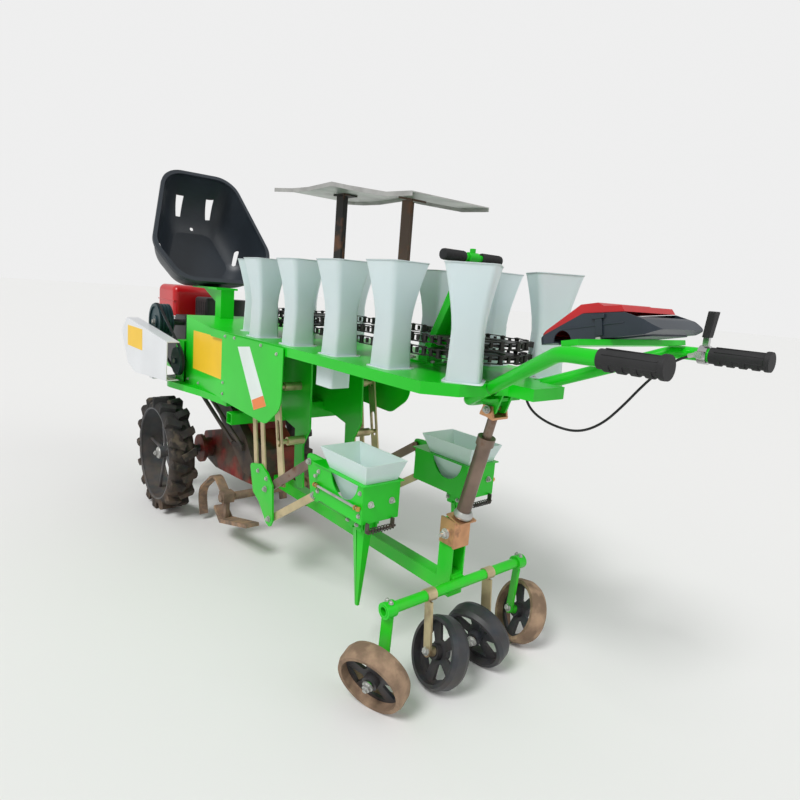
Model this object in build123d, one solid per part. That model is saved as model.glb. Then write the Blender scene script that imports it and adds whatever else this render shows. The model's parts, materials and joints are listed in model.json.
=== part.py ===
from build123d import *
import math
import os

# Riding vegetable transplanter for two rows, in millimetres.
# X runs to the rear, where the handlebar is. Y runs away from the belt guard. Z is up from the floor.
# The origin lies on the floor under the middle of the machine.

SIDES = (("near", -1), ("far", 1))
fit_gap = 0.3
sheet = 3.0
bar_plate = 6.0

# Drive wheels
drive_axle_x = -752.0
drive_wheel_y = 271.0
drive_radius = 242.0
drive_width = 108.0
lug_height = 18.0
lug_width = 30.0
lug_skew = 24.0
lugs_per_side = 16
shoulder_round = 24.0
tyre_depth = 45.0
rim_radius = drive_radius - tyre_depth
rim_wall = 5.0
spoke_count = 5
spoke_radius = 7.0
drive_hub_radius = 27.0
drive_hub_length = 60.0
stub_radius = 16.0
stub_flange_radius = 40.0

# Press wheels
press_radius = 91.0
press_width = 52.0
press_rim_radius = 77.0
press_web = 8.0
press_hub_radius = 20.0
press_hub_length = 42.0
press_spokes = 5
press_pin_radius = 8.0
outer_press_x = 770.0
outer_press_y = 275.0
outer_camber = 20.0
outer_toe = 20.0
inner_press_x = 785.0
inner_press_y = 72.0
inner_camber = 18.0
inner_toe = 10.0
press_arm_reach = 40.0

# Rear gauge frame
beam_size = 40.0
beam_wall = 3.0
beam_z = 234.0
beam_front_x = -240.0
cross_bar_x = 766.0
cross_bar_z = 254.0
cross_bar_radius = 14.0
cross_bar_half = 258.0
post_size = 50.0
post_top = 420.0
arm_width = 30.0

# Screw column
column_foot = (752.0, 0.0, 442.0)
column_head = (822.0, 0.0, 722.0)
column_tube_radius = 19.0
column_screw_radius = 12.0
column_tube_share = 0.72
column_pin_rise = 19.0
column_pin_radius = 5.0

# Running gear
rail_y = 80.0
rail_width = 40.0
rail_bottom = 540.0
rail_top = 570.0
rail_front_x = -1285.0
rail_rear_x = -100.0
gearbox_half_width = 72.0
axle_tube_radius = 44.0
axle_tube_half = 124.0
tail_bottom = (185.0, 205.0)

# Tines
tine_tube = (-300.0, 172.0)

# Engine
engine_front_x = -1335.0
engine_rear_x = -985.0
engine_y = (-128.0, 112.0)
engine_top = 952.0
cowl_rear_x = -1096.0
cowl_bottom = 807.0
pulley_x = -930.0
pulley_z = 790.0
pulley_radius = 80.0
pulley_y = -240.0
pulley_width = 60.0
counter_x = -650.0
counter_z = 655.0
counter_radius = 56.0
guard_y = (-345.0, -297.0)
engine_shaft_radius = 14.0

# Cover, footboard, fenders
board_z = 570.0
board_front_x = -815.0
board_rear_x = -225.0
board_half_width = 256.0
cover_front_x = -620.0
cover_half_width = 238.0
cover_front_top = 846.0
step_x = (-704.0, -618.0)
step_y = (-250.0, -40.0)
step_top = 740.0
fender_y = 252.0
fender_front_x = -225.0
fender_rear_x = 218.0
receiver_x = -158.0
receiver_size = 40.0

# Table
table_top = 818.0
table_front_x = -345.0
table_corner_x = 879.0
table_half_width = 248.0
table_fold = 28.0
tongue_half_width = 56.0
tongue_rear_x = 975.0
drop_x = 384.0
drop_bottom = 728.0

# Cup carousel
ring_front_x = -115.5
ring_rear_x = 740.0
cup_ring_radius = 181.0
chain_ring_radius = 126.0
chain_heights = (866.0, 898.0)
chain_links = 48
link_tall = 22.0
link_wide = 16.0
sprocket_gap = 7.1
cup_count = 12
cup_pitch = 228.0
cup_lead = 116.0
cup_height = 258.0
cup_wall = 2.5
cup_foot = 76.0
cup_waist = 70.0
cup_mouth = 118.0
cup_flange = 92.0

# Tray
tray_half_width = 140.0
tray_post_x = (116.0, 450.0)

# Planter units
row_y = 186.0
link_length = 316.0
link_angle = 32.6
upper_pivot = (62.0, 325.0)
lower_pivot = (94.0, 232.0)
link_y = 200.0
link_thick = 8.0
link_height = 28.0
link_pin_radius = 6.0
pin_gap = 0.5
box_x = (412.0, 640.0)
box_z = (420.0, 520.0)
box_half_width = 60.0
funnel_x = 549.0
funnel_top = 576.0
funnel_bottom = 424.0
funnel_mouth = (212.0, 132.0)
beak_x = 568.0
beak_top = 404.0
beak_tip = 152.0
lift_pin_reach = 85.0
lift_travel = 61.0

# Handlebar
handle_radius = 14.5
handle_end_x = 1332.0
handle_bend = (1137.0, 214.0, 920.0)
handle_end_z = 923.0
apex = (756.0, 30.0, 750.0)
grip_length = 116.0
grip_radius = 17.5

# Tool box and clutch lever
box_slope = 11.5
box_foot = (1000.0, 915.0)
box_length = 256.0
box_width = 204.0
lid_hinge = (2.0, 20.0)
lid_hinge_radius = 5.0
clutch_x = 1203.0

# Seat
seat_y = -85.0
seat_post_y = -95.0
seat_lip = (-644.0, 977.0)
seat_tilt = 57.7
seat_wall = 5.0
seat_post_top = 963.0


def along(start, end, radius):
    """A round bar between two points."""
    a = Vector(*start)
    b = Vector(*end)
    run = b - a
    return Plane(origin=a, z_dir=run) * extrude(Circle(radius), run.length)


def hollow_along(start, end, radius, bore):
    a = Vector(*start)
    b = Vector(*end)
    run = b - a
    return Plane(origin=a, z_dir=run) * extrude(Circle(radius) - Circle(bore), run.length)


def block(x, y, z):
    """A box from its low and high sides along each axis."""
    size = [abs(hi - lo) for lo, hi in (x, y, z)]
    middle = [(hi + lo) / 2 for lo, hi in (x, y, z)]
    return Pos(*middle) * Box(*size)


def side_plate(points, y, rounds=()):
    """A plate in the XZ plane between two Y values; rounds lists (corner index, radius)."""
    face = make_face(Polyline(*points, close=True))
    for index, radius in rounds:
        corner = Vector(*points[index], 0)
        face = fillet(face.vertices().sort_by_distance(corner)[0], radius)
    plane = Plane(origin=(0, max(y), 0), x_dir=(1, 0, 0), z_dir=(0, -1, 0))
    return plane * extrude(face, abs(y[1] - y[0]))


def flat_bar(start, end, width, thick, flat):
    """A flat bar between two points; flat is the direction that its broad face looks to."""
    a = Vector(*start)
    b = Vector(*end)
    run = b - a
    across = run.cross(Vector(*flat))
    plane = Plane(origin=a, x_dir=across, z_dir=run)
    return plane * extrude(Rectangle(width, thick), run.length)


def swept_tube(points, radii, radius):
    path = FilletPolyline(*points, radius=list(radii))
    start = Plane(origin=path @ 0, z_dir=path % 0)
    return sweep(start * Circle(radius), path=path)


def mirrored(shape):
    return mirror(shape, Plane.XZ)


def both_sides(shape):
    return Compound(children=[shape, mirrored(shape)])


# Drive wheels

def drive_tyre():
    """Carcass with round shoulders and alternating lugs that wrap round them."""
    carcass = Cylinder(drive_radius - lug_height, drive_width - 6) - Cylinder(rim_radius, drive_width)
    shoulders = carcass.edges().filter_by(GeomType.CIRCLE).sort_by(SortBy.RADIUS)[-2:]
    wall = drive_radius - lug_height - rim_radius
    carcass = fillet(shoulders, min(shoulder_round, 0.9 * wall))
    depth = lug_height + shoulder_round
    lug = Box(depth, lug_width, drive_width * 0.60)
    lugs = []
    for index in range(2 * lugs_per_side):
        side = 1 if index % 2 else -1
        place = Pos(drive_radius - depth / 2 + 2, 0, side * drive_width * 0.22)
        lugs.append(Rot(0, 0, index * 180 / lugs_per_side) * place * Rot(side * lug_skew, 0, 0) * lug)
    crown = Cylinder(drive_radius, drive_width) - Cylinder(drive_radius - depth, drive_width)
    crown = chamfer(crown.edges().filter_by(GeomType.CIRCLE).sort_by(SortBy.RADIUS)[-2:], 7)
    return carcass + (Compound(children=lugs) & crown)


def drive_rim(axle_end):
    """Rim, spokes, hub and stub axle about Z; the stub runs to axle_end on the inner side."""
    rim = Cylinder(rim_radius - fit_gap, drive_width - 6) - Cylinder(
        rim_radius - rim_wall, drive_width - 6
    )
    hub = Cylinder(drive_hub_radius, drive_hub_length)
    wheel = rim + hub
    for index in range(spoke_count):
        angle = math.radians(112 + index * 360 / spoke_count)
        reach = rim_radius - rim_wall / 2 - 1
        tip = (reach * math.cos(angle), reach * math.sin(angle), 0)
        wheel += along((0, 0, 0), tip, spoke_radius)
    wheel += Pos(0, 0, axle_end / 2) * Cylinder(stub_radius, abs(axle_end))
    wheel += Pos(0, 0, axle_end * 0.62) * Cylinder(stub_flange_radius * 0.6, 24)
    return wheel


# Press wheels

def press_wheel():
    """A wheel about Z with a crowned tread, a spoked web and a bored hub."""
    half = press_width / 2
    tread = make_face(
        Polyline(
            (press_rim_radius, -half),
            (press_radius - 5, -half),
            (press_radius, -half + 12),
            (press_radius, half - 12),
            (press_radius - 5, half),
            (press_rim_radius, half),
            (press_rim_radius, 4),
            (press_rim_radius, -4),
            close=True,
        )
    )
    wheel = revolve(Plane.XZ * tread, Axis.Z)
    wheel += Cylinder(press_rim_radius + 1, press_web)
    wheel += Cylinder(press_hub_radius, press_hub_length)
    wheel -= Cylinder(press_pin_radius + pin_gap, press_hub_length)
    window = make_face(Polyline((30, 7), (65, 27), (65, -27), (30, -7), close=True))
    for index in range(press_spokes):
        wheel -= Rot(0, 0, index * 360 / press_spokes + 90) * extrude(window, press_web, both=True)
    return wheel


def press_place(x, y, camber, toe, arm_side, side):
    """Place and arm direction of a press wheel: arm_side is 1 where the arm stands inboard of it."""
    c = math.radians(camber)
    t = math.radians(toe)
    towards = Vector(
        -math.sin(t) * math.cos(c), -side * arm_side * math.cos(t) * math.cos(c), math.sin(c)
    )
    plane = Plane(
        origin=(x, side * y, 0), x_dir=Vector(math.cos(t), -side * arm_side * math.sin(t), 0),
        z_dir=towards
    )
    low = (plane * Cylinder(press_radius, press_width - 24)).bounding_box().min.Z
    hub = Vector(x, side * y, -low)
    return Plane(origin=hub, x_dir=plane.x_dir, z_dir=towards), towards


PRESS_WHEELS = {
    # name: x, y, camber, toe, arm side
    "outer": (outer_press_x, outer_press_y, outer_camber, outer_toe, 1),
    "inner": (inner_press_x, inner_press_y, inner_camber, inner_toe, -1),
}


def press_arm(kind, side):
    """The sleeve on the cross bar, the flat arm and the axle pin of one press wheel."""
    x, y, camber, toe, arm_side = PRESS_WHEELS[kind]
    plane, towards = press_place(x, y, camber, toe, arm_side, side)
    foot = plane.origin + towards * press_arm_reach
    sleeve_y = foot.Y
    if kind == "outer":
        sleeve_y = side * (cross_bar_half - 16)
    top = Vector(cross_bar_x, sleeve_y, cross_bar_z)
    sleeve_radius = cross_bar_radius + fit_gap
    wall = sleeve_radius + (6 if kind == "outer" else 2.5)
    sleeve = hollow_along(
        (top.X, sleeve_y - 15, top.Z), (top.X, sleeve_y + 15, top.Z), wall, sleeve_radius
    )
    start = top + (foot - top).normalized() * (sleeve_radius + 2)
    arm = flat_bar(start, foot, arm_width, bar_plate, towards)
    arm += Plane(
        origin=foot - towards * bar_plate / 2, z_dir=towards
    ) * extrude(Circle(arm_width / 2), bar_plate)
    pin_end = plane.origin - towards * (press_hub_length / 2 + 6)
    pin = along(foot, pin_end, press_pin_radius)
    collar_start = plane.origin + towards * (press_hub_length / 2 + 1)
    collar = along(foot, collar_start, press_pin_radius + 5)
    return sleeve + arm + pin + collar


# Rear gauge frame

def gauge_beam():
    """The square beam from the gearbox to the rear, with the channel post welded on its end."""
    rear = cross_bar_x - cross_bar_radius
    post_front = rear - post_size
    half = beam_size / 2
    beam = block((beam_front_x, post_front), (-half, half), (beam_z - half, beam_z + half))
    inner = half - beam_wall
    beam -= block((beam_front_x, post_front), (-inner, inner), (beam_z - inner, beam_z + inner))
    wide = post_size / 2
    post = block((post_front, rear), (-wide, wide), (beam_z - half, post_top))
    post -= block((post_front + 5, rear), (-wide + 5, wide - 5), (beam_z + half + 22, post_top))
    post -= along(
        (cross_bar_x, -wide, cross_bar_z), (cross_bar_x, wide, cross_bar_z), cross_bar_radius + fit_gap
    )
    saddle = block((rear - 4, cross_bar_x - 4), (-18, 18), (cross_bar_z - 16, cross_bar_z + 16))
    saddle -= along(
        (cross_bar_x, -20, cross_bar_z), (cross_bar_x, 20, cross_bar_z), cross_bar_radius + fit_gap
    )
    return beam + post + saddle


def cross_bar():
    half = cross_bar_half
    bar = hollow_along(
        (cross_bar_x, -half, cross_bar_z), (cross_bar_x, half, cross_bar_z), cross_bar_radius, 10.5
    )
    return bar


def column_axis():
    foot = Vector(*column_foot)
    head = Vector(*column_head)
    return foot, (head - foot).normalized(), (head - foot).length


def screw_column():
    """The outer tube with its collar, and the screw that stands out of it."""
    foot, axis, length = column_axis()
    tube_end = foot + axis * (length * column_tube_share)
    collar_end = tube_end + axis * 22
    column = along((foot + axis * 8), tube_end, column_tube_radius)
    column += along(tube_end, collar_end, column_tube_radius + 4)
    column += along(collar_end, (foot + axis * length), column_screw_radius)
    foot_nut = Plane(origin=foot - axis * 8, z_dir=axis) * extrude(RegularPolygon(18, 6), 16)
    return column + foot_nut


def column_brackets():
    """The angle bracket on the post and the clevis under the handlebar."""
    foot, axis, length = column_axis()
    rear = cross_bar_x - cross_bar_radius
    seat_low = foot - axis * 8
    shelf = Plane(origin=seat_low - axis * 5, x_dir=(0, 1, 0), z_dir=axis) * extrude(Rectangle(62, 52), 5)
    wall = block((rear, rear + 6), (-28, 28), (post_top - 68, post_top - 4))
    web = block((rear, rear + 6), (-24, 24), (post_top - 40, post_top + 12))
    lower = shelf + wall + web
    near_side = block((rear - 46, rear + 6), (-31.5, -25.5), (post_top - 62, post_top + 8))
    lower -= block((rear - 60, rear), (-26, 26), (post_top - 80, post_top))
    lower += near_side
    head = foot + axis * length
    pin_z = head.Z + column_pin_rise
    clevis = Plane(origin=head, x_dir=(0, 1, 0), z_dir=axis) * extrude(Rectangle(56, 44), 6)
    for side in (-1, 1):
        ear = [
            (head.X - 22, head.Z + 2), (head.X + 22, head.Z - 2), (head.X + 16, pin_z + 9),
            (head.X - 12, pin_z + 9)
        ]
        clevis += side_plate(ear, (side * 28, side * 22))
    clevis += along((head.X + 4, -32, pin_z), (head.X + 4, 32, pin_z), column_pin_radius)
    return Compound(children=[lower, clevis])


# Running gear

def chassis_rails():
    rail = block(
        (rail_front_x, rail_rear_x), (-rail_y - rail_width / 2, -rail_y + rail_width / 2),
        (rail_bottom, rail_top)
    )
    rails = rail + mirrored(rail)
    for x in (rail_front_x + 15, -560, rail_rear_x - 15):
        rails += block((x - 15, x + 15), (-rail_y, rail_y), (rail_bottom, rail_top))
    half = receiver_size / 2
    tube = block(
        (receiver_x - half, receiver_x + half), (-250, 250), (rail_bottom - receiver_size, rail_bottom)
    )
    tube -= block(
        (receiver_x - half + 3, receiver_x + half - 3), (-250, 250), (
            rail_bottom - receiver_size + 3, rail_bottom - 3
        )
    )
    return rails + tube


def gearbox():
    """Cast casing from the drive axle to the beam, with bell ends bored for the stub axles."""
    half = gearbox_half_width
    outline = [
        (-830, 190), (-690, 165), (-420, tail_bottom[0]), (beam_front_x, tail_bottom[1]),
        (beam_front_x, 360), (-330, 420), (-350, rail_bottom), (-560, rail_bottom), (-600, 360), (-830, 300),
    ]
    casing = side_plate(outline, (-half, half), rounds=((0, 40), (1, 40), (9, 30)))
    axle = along(
        (drive_axle_x, -axle_tube_half, drive_radius), (drive_axle_x, axle_tube_half, drive_radius),
        axle_tube_radius
    )
    casing += axle
    for side in (-1, 1):
        inner = side * (axle_tube_half - 16)
        end = side * axle_tube_half
        casing += along((drive_axle_x, inner, drive_radius), (drive_axle_x, end, drive_radius), 62)
        bore_end = side * (axle_tube_half - 34)
        casing -= along(
            (drive_axle_x, bore_end, drive_radius), (drive_axle_x, end, drive_radius),
            stub_radius + pin_gap
        )
    return casing


def chain_case():
    """Slanted case of the side drive, on the near side of the gearbox."""
    y = (-gearbox_half_width - 34, -gearbox_half_width)
    outline = [
        (-620, 500), (-540, 532), (-330, 400), (-250, 310), (-270, 248), (-340, 250), (-420, 310),
        (-600, 440)
    ]
    case = side_plate(outline, y, rounds=((0, 30), (1, 30), (3, 26), (4, 26), (5, 26)))
    return case


def stays():
    """Two black stay bars from under the footboard down to the side drive case."""
    bars = []
    for x in (-600, -500):
        bars.append(along((x, -200, board_z - 12), (x + 170, -gearbox_half_width - 42, 352), 8))
    bars.append(block((-620, -480), (-216, -184), (board_z - 14, board_z)))
    lower = block((-400, -322), (-gearbox_half_width - 50, -gearbox_half_width - 34), (342, 364))
    stay = bars[0] + bars[1] + bars[2] + lower
    case = chain_case()
    return stay - case


def tines():
    """A curved spring tine and a shank with a long flat share in each row, on a cross tube."""
    tube_x, tube_z = tine_tube
    casing_slope = (tail_bottom[1] - tail_bottom[0]) / (beam_front_x + 420)
    nodes = along((tube_x, -215, tube_z), (tube_x, 215, tube_z), 16)
    for side in (-1, 1):
        y = side * row_y
        points = [
            (tube_x - 6, y, tube_z + 6), (tube_x - 96, y, tube_z + 66), (tube_x - 250, y, tube_z - 46),
            (tube_x - 226, y, 24),
        ]
        path = FilletPolyline(*points, radius=[60, 70])
        start = Plane(origin=path @ 0, x_dir=(0, 1, 0), z_dir=path % 0)
        nodes += sweep(start * Rectangle(34, 10), path=path)
        shank = [(tube_x - 12, tube_z), (tube_x + 12, tube_z), (tube_x + 8, 82), (tube_x - 12, 78)]
        nodes += side_plate(shank, (y - 8, y + 8))
        share = [
            (tube_x - 64, 112), (tube_x - 6, 70), (tube_x + 226, 134), (tube_x + 222, 146),
            (tube_x - 2, 88), (tube_x - 56, 124),
        ]
        nodes += side_plate(share, (y - 26, y + 26))
        clamp = side_plate([(tube_x - 24, tube_z - 20), (tube_x + 20, tube_z - 20), (tube_x + 20, tube_z + 24),
                            (tube_x - 24, tube_z + 24)], (y - 22, y + 22), rounds=(
                                (0, 8), (1, 8), (2, 8), (3, 8)
                            ))
        nodes += clamp
    hanger = []
    for x in (tube_x - 14, tube_x + 14):
        hanger.append((x, tail_bottom[0] + casing_slope * (x + 420) - fit_gap))
    nodes += side_plate([(tube_x - 14, tube_z), (tube_x + 14, tube_z), hanger[1], hanger[0]], (-30, 30))
    return nodes


# Engine and belt drive

def engine_block():
    """Crankcase, finned cylinder and starter cover."""
    crank = block(
        (engine_front_x + 60, engine_rear_x - 20), (engine_y[0] + 8, engine_y[1] - 8), (rail_top, 750)
    )
    crank = chamfer(crank.edges().filter_by(Axis.Y), 18)
    block_top = cowl_bottom
    cylinder = block((-1262, -1124), (-60, 70), (750, block_top))
    fins = cylinder
    for index in range(5):
        z = 755 + index * 10.5
        fins += block((-1276, -1110), (-74, 84), (z, z + 4))
    starter = along((engine_front_x + 60, -8, 670), (engine_front_x + 8, -8, 670), 84)
    shaft = along(
        (pulley_x, engine_y[0] + 8, pulley_z), (pulley_x, pulley_y - 4, pulley_z), engine_shaft_radius
    )
    boss = block(
        (engine_rear_x - 60, pulley_x + 24), (engine_y[0] - 12, engine_y[0] + 40), (690, pulley_z + 30)
    )
    boss = chamfer(boss.edges().filter_by(Axis.Y), 14)
    return crank + fins + starter + shaft + boss


def engine_cowl():
    """Fuel tank with rounded edges over the cylinder, and its cap."""
    x = (engine_front_x, cowl_rear_x)
    tank = block(x, engine_y, (cowl_bottom, engine_top))
    tank = fillet(tank.edges().filter_by(Axis.Y).group_by(Axis.Z)[-1], 34)
    tank = fillet(tank.edges().filter_by(Axis.Z), 26)
    cap = along((-1226, 30, engine_top - 1), (-1226, 30, engine_top + 20), 30)
    return tank + cap


def muffler():
    """Silencer box behind the tank, the pipe under it and the air cleaner on the far side."""
    front = cowl_rear_x + 26
    body = block((front, front + 150), (-40, 70), (806, 906))
    body = fillet(body.edges(), 14)
    pipe = along((front + 24, 0, 760), (front + 24, 0, 808), 16)
    cleaner = along((front + 70, 150, 780), (front + 70, 150, 900), 60)
    bracket = block((front + 50, front + 90), (60, 104), (836, 856))
    foot = block((front - 4, front + 52), (-24, 24), (750, 780))
    return body + pipe + cleaner + bracket + foot


def belt_drive():
    """Grooved engine pulley, the smaller pulley on the countershaft and the belts round them."""
    outer_y = pulley_y - pulley_width / 2
    groove = 6.0
    upper = Plane(origin=(pulley_x, pulley_y + pulley_width / 2, pulley_z), z_dir=(0, -1, 0)) * extrude(
        Circle(pulley_radius) - Circle(engine_shaft_radius + fit_gap), pulley_width
    )
    for index in range(4):
        y = outer_y + 6 + index * 14
        upper -= Plane(origin=(pulley_x, y + 8, pulley_z), z_dir=(0, -1, 0)) * extrude(
            Circle(pulley_radius + 1) - Circle(pulley_radius - groove), 8
        )
    dish = Plane(origin=(pulley_x, outer_y, pulley_z), z_dir=(0, 1, 0))
    upper -= dish * extrude(Circle(pulley_radius - 12) - Circle(engine_shaft_radius + 14), 6)
    lower = along((counter_x, outer_y + 18, counter_z), (counter_x, outer_y, counter_z), counter_radius)
    shaft = along((counter_x, step_y[0], counter_z), (counter_x, outer_y - 6, counter_z), 12)
    run = Vector(counter_x - pulley_x, 0, counter_z - pulley_z)
    outer = make_hull(
        [Circle(pulley_radius + 3).edge(), (Pos(run.length, 0) * Circle(counter_radius + 3)).edge()]
    )
    inner = make_hull(
        [Circle(pulley_radius - groove).edge(), (Pos(run.length, 0) * Circle(counter_radius)).edge()]
    )
    belts = Plane(
        origin=(pulley_x, outer_y + 15, pulley_z), x_dir=run, z_dir=(0, -1, 0)
    ) * extrude(outer - inner, 9)
    return upper + lower + shaft + belts


def belt_guard():
    """Folded sheet guard over the outer side of the belts, open towards the machine and the rear."""
    outline = [(-1158, 730), (-1075, 797), (-529, 746), (-535, 593), (-948, 564), (-1058, 593)]
    shell = side_plate(outline, guard_y, rounds=((0, 26), (1, 30), (5, 30)))
    inset = [(-1154, 730), (-1074, 793), (-520, 742), (-526, 597), (-948, 568), (-1056, 597)]
    hollow = side_plate(inset, (guard_y[0] + sheet, guard_y[1] + 1), rounds=((0, 24), (1, 28), (5, 28)))
    guard = shell - hollow
    arm = block((-750, -710), (guard_y[0] + sheet, -cover_half_width), (board_z + sheet, board_z + 11))
    return guard + arm


# Cover, fenders and side plates

def board_outline():
    """Half of the footboard's edge, on the near side, from the front to the rear."""
    return [(board_front_x, -200), (-790, -256), (-660, -300), (-430, -251), (board_rear_x, -232)]


def cover_box():
    """Footboard with a curved edge and a folded rim, the raised cover and the step in front of it."""
    near = board_outline()
    far = [(x, -y) for x, y in reversed(near)]
    face = make_face(Polyline(*near, *far, close=True))
    bends = [v for v in face.vertices() if -800 < v.X < -400]
    face = fillet(bends, 90)
    board = Pos(0, 0, board_z) * extrude(face, sheet)
    rim = Pos(0, 0, board_z - 22) * extrude(face - offset(face, -sheet), 22)
    board += rim - block((-900, -200), (-210, 210), (board_z - 30, board_z))
    top_rear = table_top - sheet - fit_gap
    half = cover_half_width
    rear = board_rear_x
    outline = [
        (cover_front_x, board_z + sheet), (rear, board_z + sheet), (rear, top_rear),
        (table_front_x, top_rear), (cover_front_x, cover_front_top),
    ]
    cover = side_plate(outline, (-half, half))
    inner = [
        (cover_front_x + sheet, board_z), (rear + 1, board_z), (rear + 1, top_rear - sheet),
        (table_front_x, top_rear - sheet), (cover_front_x + sheet, cover_front_top - sheet),
    ]
    cover -= side_plate(inner, (-half + sheet, half - sheet))
    step = block(step_x, step_y, (board_z + sheet, step_top))
    step = fillet(step.edges().filter_by(Axis.Y).sort_by(Axis.Z)[-2:].sort_by(Axis.X)[:1], 24)
    step -= block(
        (step_x[0] + sheet, step_x[1] + 1), (
            step_y[0] + sheet, step_y[1] - sheet
        ), (board_z, step_top - sheet)
    )
    return board + cover + step


def fenders():
    """Side plates outside the cover, with a round rear corner and a slanted foot."""
    outline = [
        (fender_front_x, table_top - 4), (fender_rear_x, table_top - 4), (fender_rear_x, 632),
        (123, 563), (fender_front_x, board_z + 6),
    ]
    plate = side_plate(outline, (-fender_y - sheet, -fender_y), rounds=((2, 70), (3, 60)))
    clip = block((-200, 150), (-fender_y, -table_half_width), (table_top - 22, table_top - 10))
    tab = block(
        (fender_front_x - 20, fender_front_x + 8), (-fender_y, -cover_half_width),
        (board_z + 9, board_z + 24)
    )
    return both_sides(plate + clip + tab)


def side_plates():
    """Inner plates that hang from the table and carry the lifting gear."""
    y = (-rail_y - rail_width / 2 - bar_plate, -rail_y - rail_width / 2)
    top = table_top - sheet
    outline = [
        (-200, top), (134, top), (146, 536), (106, 474), (122, 330),
        (84, 318), (58, 380), (52, 520), (-40, rail_bottom), (-200, rail_bottom),
    ]
    plate = side_plate(outline, y, rounds=((2, 30), (3, 30), (5, 16), (8, 40)))
    flange = block((-140, 135), (-212, y[0]), (top - bar_plate, top))
    return both_sides(plate + flange)


# Table and carousel

def table():
    """Sheet table with folded edges, cut rear corners and the tongue under the handlebar."""
    w = table_half_width
    t = tongue_half_width
    outline = [
        (table_front_x, -w), (table_corner_x - 60, -w), (table_corner_x, -w + 60), (892, -t - 20),
        (905, -t), (tongue_rear_x, -t), (tongue_rear_x, t), (905, t), (892, t + 20),
        (table_corner_x, w - 60), (table_corner_x - 60, w), (table_front_x, w),
    ]
    low = table_top - table_fold
    face = make_face(Polyline(*outline, close=True))
    slab = Pos(0, 0, low) * extrude(face, table_fold)
    pocket = Pos(0, 0, low - 1) * extrude(
        offset(face, -sheet, kind=Kind.INTERSECTION), table_fold - sheet + 1
    )
    top = slab - pocket
    top -= block((table_front_x - 1, table_front_x + 8), (-w + 3, w - 3), (low - 1, table_top - sheet))
    for side in (-1, 1):
        top -= block(
            (drop_x - 36, drop_x + 36), (
                side * row_y - 27, side * row_y + 27
            ), (table_top - 10, table_top + 1)
        )
        bend = (handle_bend[0], side * handle_bend[1], handle_bend[2])
        top -= along((apex[0], side * apex[1], apex[2]), bend, handle_radius + 4)
    return top


def ring_point(travel, radius, pitch_radius):
    """Point and heading on the oval, at a distance along its line of pitch radius, moved to a radius."""
    straight = ring_rear_x - ring_front_x
    turn = math.pi * pitch_radius
    travel = travel % (2 * (straight + turn))
    if travel < turn:
        angle = travel / pitch_radius
        return ring_rear_x + radius * math.sin(angle), -radius * math.cos(angle), math.degrees(angle)
    if travel < turn + straight:
        return ring_rear_x - (travel - turn), radius, 180
    if travel < 2 * turn + straight:
        angle = (travel - turn - straight) / pitch_radius
        return ring_front_x - radius * math.sin(angle), radius * math.cos(angle), 180 + math.degrees(angle)
    return ring_front_x + (travel - 2 * turn - straight), -radius, 0


def cup():
    """A square cup with soft corners: narrow waist, flared mouth, foot flange and the arms to the chains."""
    levels = (
        # height, width, corner radius
        (3.0, cup_foot, 9.0), (cup_height * 0.5, cup_waist, 11.0), (cup_height, cup_mouth, 16.0),
    )
    outer = [Pos(0, 0, z) * RectangleRounded(w, w, r) for z, w, r in levels]
    inner = [
        Pos(0, 0, z) * RectangleRounded(w - 2 * cup_wall, w - 2 * cup_wall, r - cup_wall) for z, w,
        r in levels
    ]
    body = loft(outer, ruled=True)
    reach = cup_ring_radius - chain_ring_radius - link_wide / 2 - fit_gap
    for height in chain_heights:
        body += block(
            (-11, 11), (cup_waist / 2 - 4, reach), (height - table_top - 7, height - table_top + 7)
        )
    body -= loft(inner, ruled=True)
    opening = RectangleRounded(cup_foot - 2 * cup_wall, cup_foot - 2 * cup_wall, 7)
    flange = extrude(RectangleRounded(cup_flange, cup_flange, 14) - opening, 3)
    return body + flange


def cup_places():
    return [
        ring_point(
            cup_lead - index * cup_pitch, cup_ring_radius, cup_ring_radius
        ) for index in range(cup_count)
    ]


def cups():
    one = cup()
    placed = []
    for x, y, heading in cup_places():
        placed.append(Pos(x, y, table_top) * Rot(0, 0, heading) * one)
    return Compound(children=placed)


def cup_chain():
    """Two chain loops, one above the other; each link is one solid with its plates and pins."""
    loop = 2 * (ring_rear_x - ring_front_x) + 2 * math.pi * chain_ring_radius
    pitch = loop / chain_links
    links = []
    for index in range(chain_links):
        x0, y0, _ = ring_point(index * pitch, chain_ring_radius, chain_ring_radius)
        x1, y1, _ = ring_point((index + 1) * pitch, chain_ring_radius, chain_ring_radius)
        length = math.hypot(x1 - x0, y1 - y0)
        outer = index % 2 == 0
        half = length / 2 + (10 if outer else -7)
        plate_z = link_tall / 2 - (2 if outer else 4)
        shape = Polyline(
            (-half, 0), (-half + 6, -link_wide / 2), (half - 6, -link_wide / 2),
            (half, 0), (half - 6, link_wide / 2), (-half + 6, link_wide / 2), close=True,
        )
        plate = extrude(make_face(shape), 2)
        piece = Pos(0, 0, plate_z) * plate + Pos(0, 0, -plate_z - 2) * plate
        if outer:
            for end in (-length / 2, length / 2):
                piece += Pos(end, 0, 0) * Box(7, 7, 2 * plate_z)
        else:
            piece += Box(10, 8, 2 * plate_z)
        turn = math.degrees(math.atan2(y1 - y0, x1 - x0))
        for height in chain_heights:
            links.append(Pos((x0 + x1) / 2, (y0 + y1) / 2, height) * Rot(0, 0, turn) * piece)
    return Compound(children=links)


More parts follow.
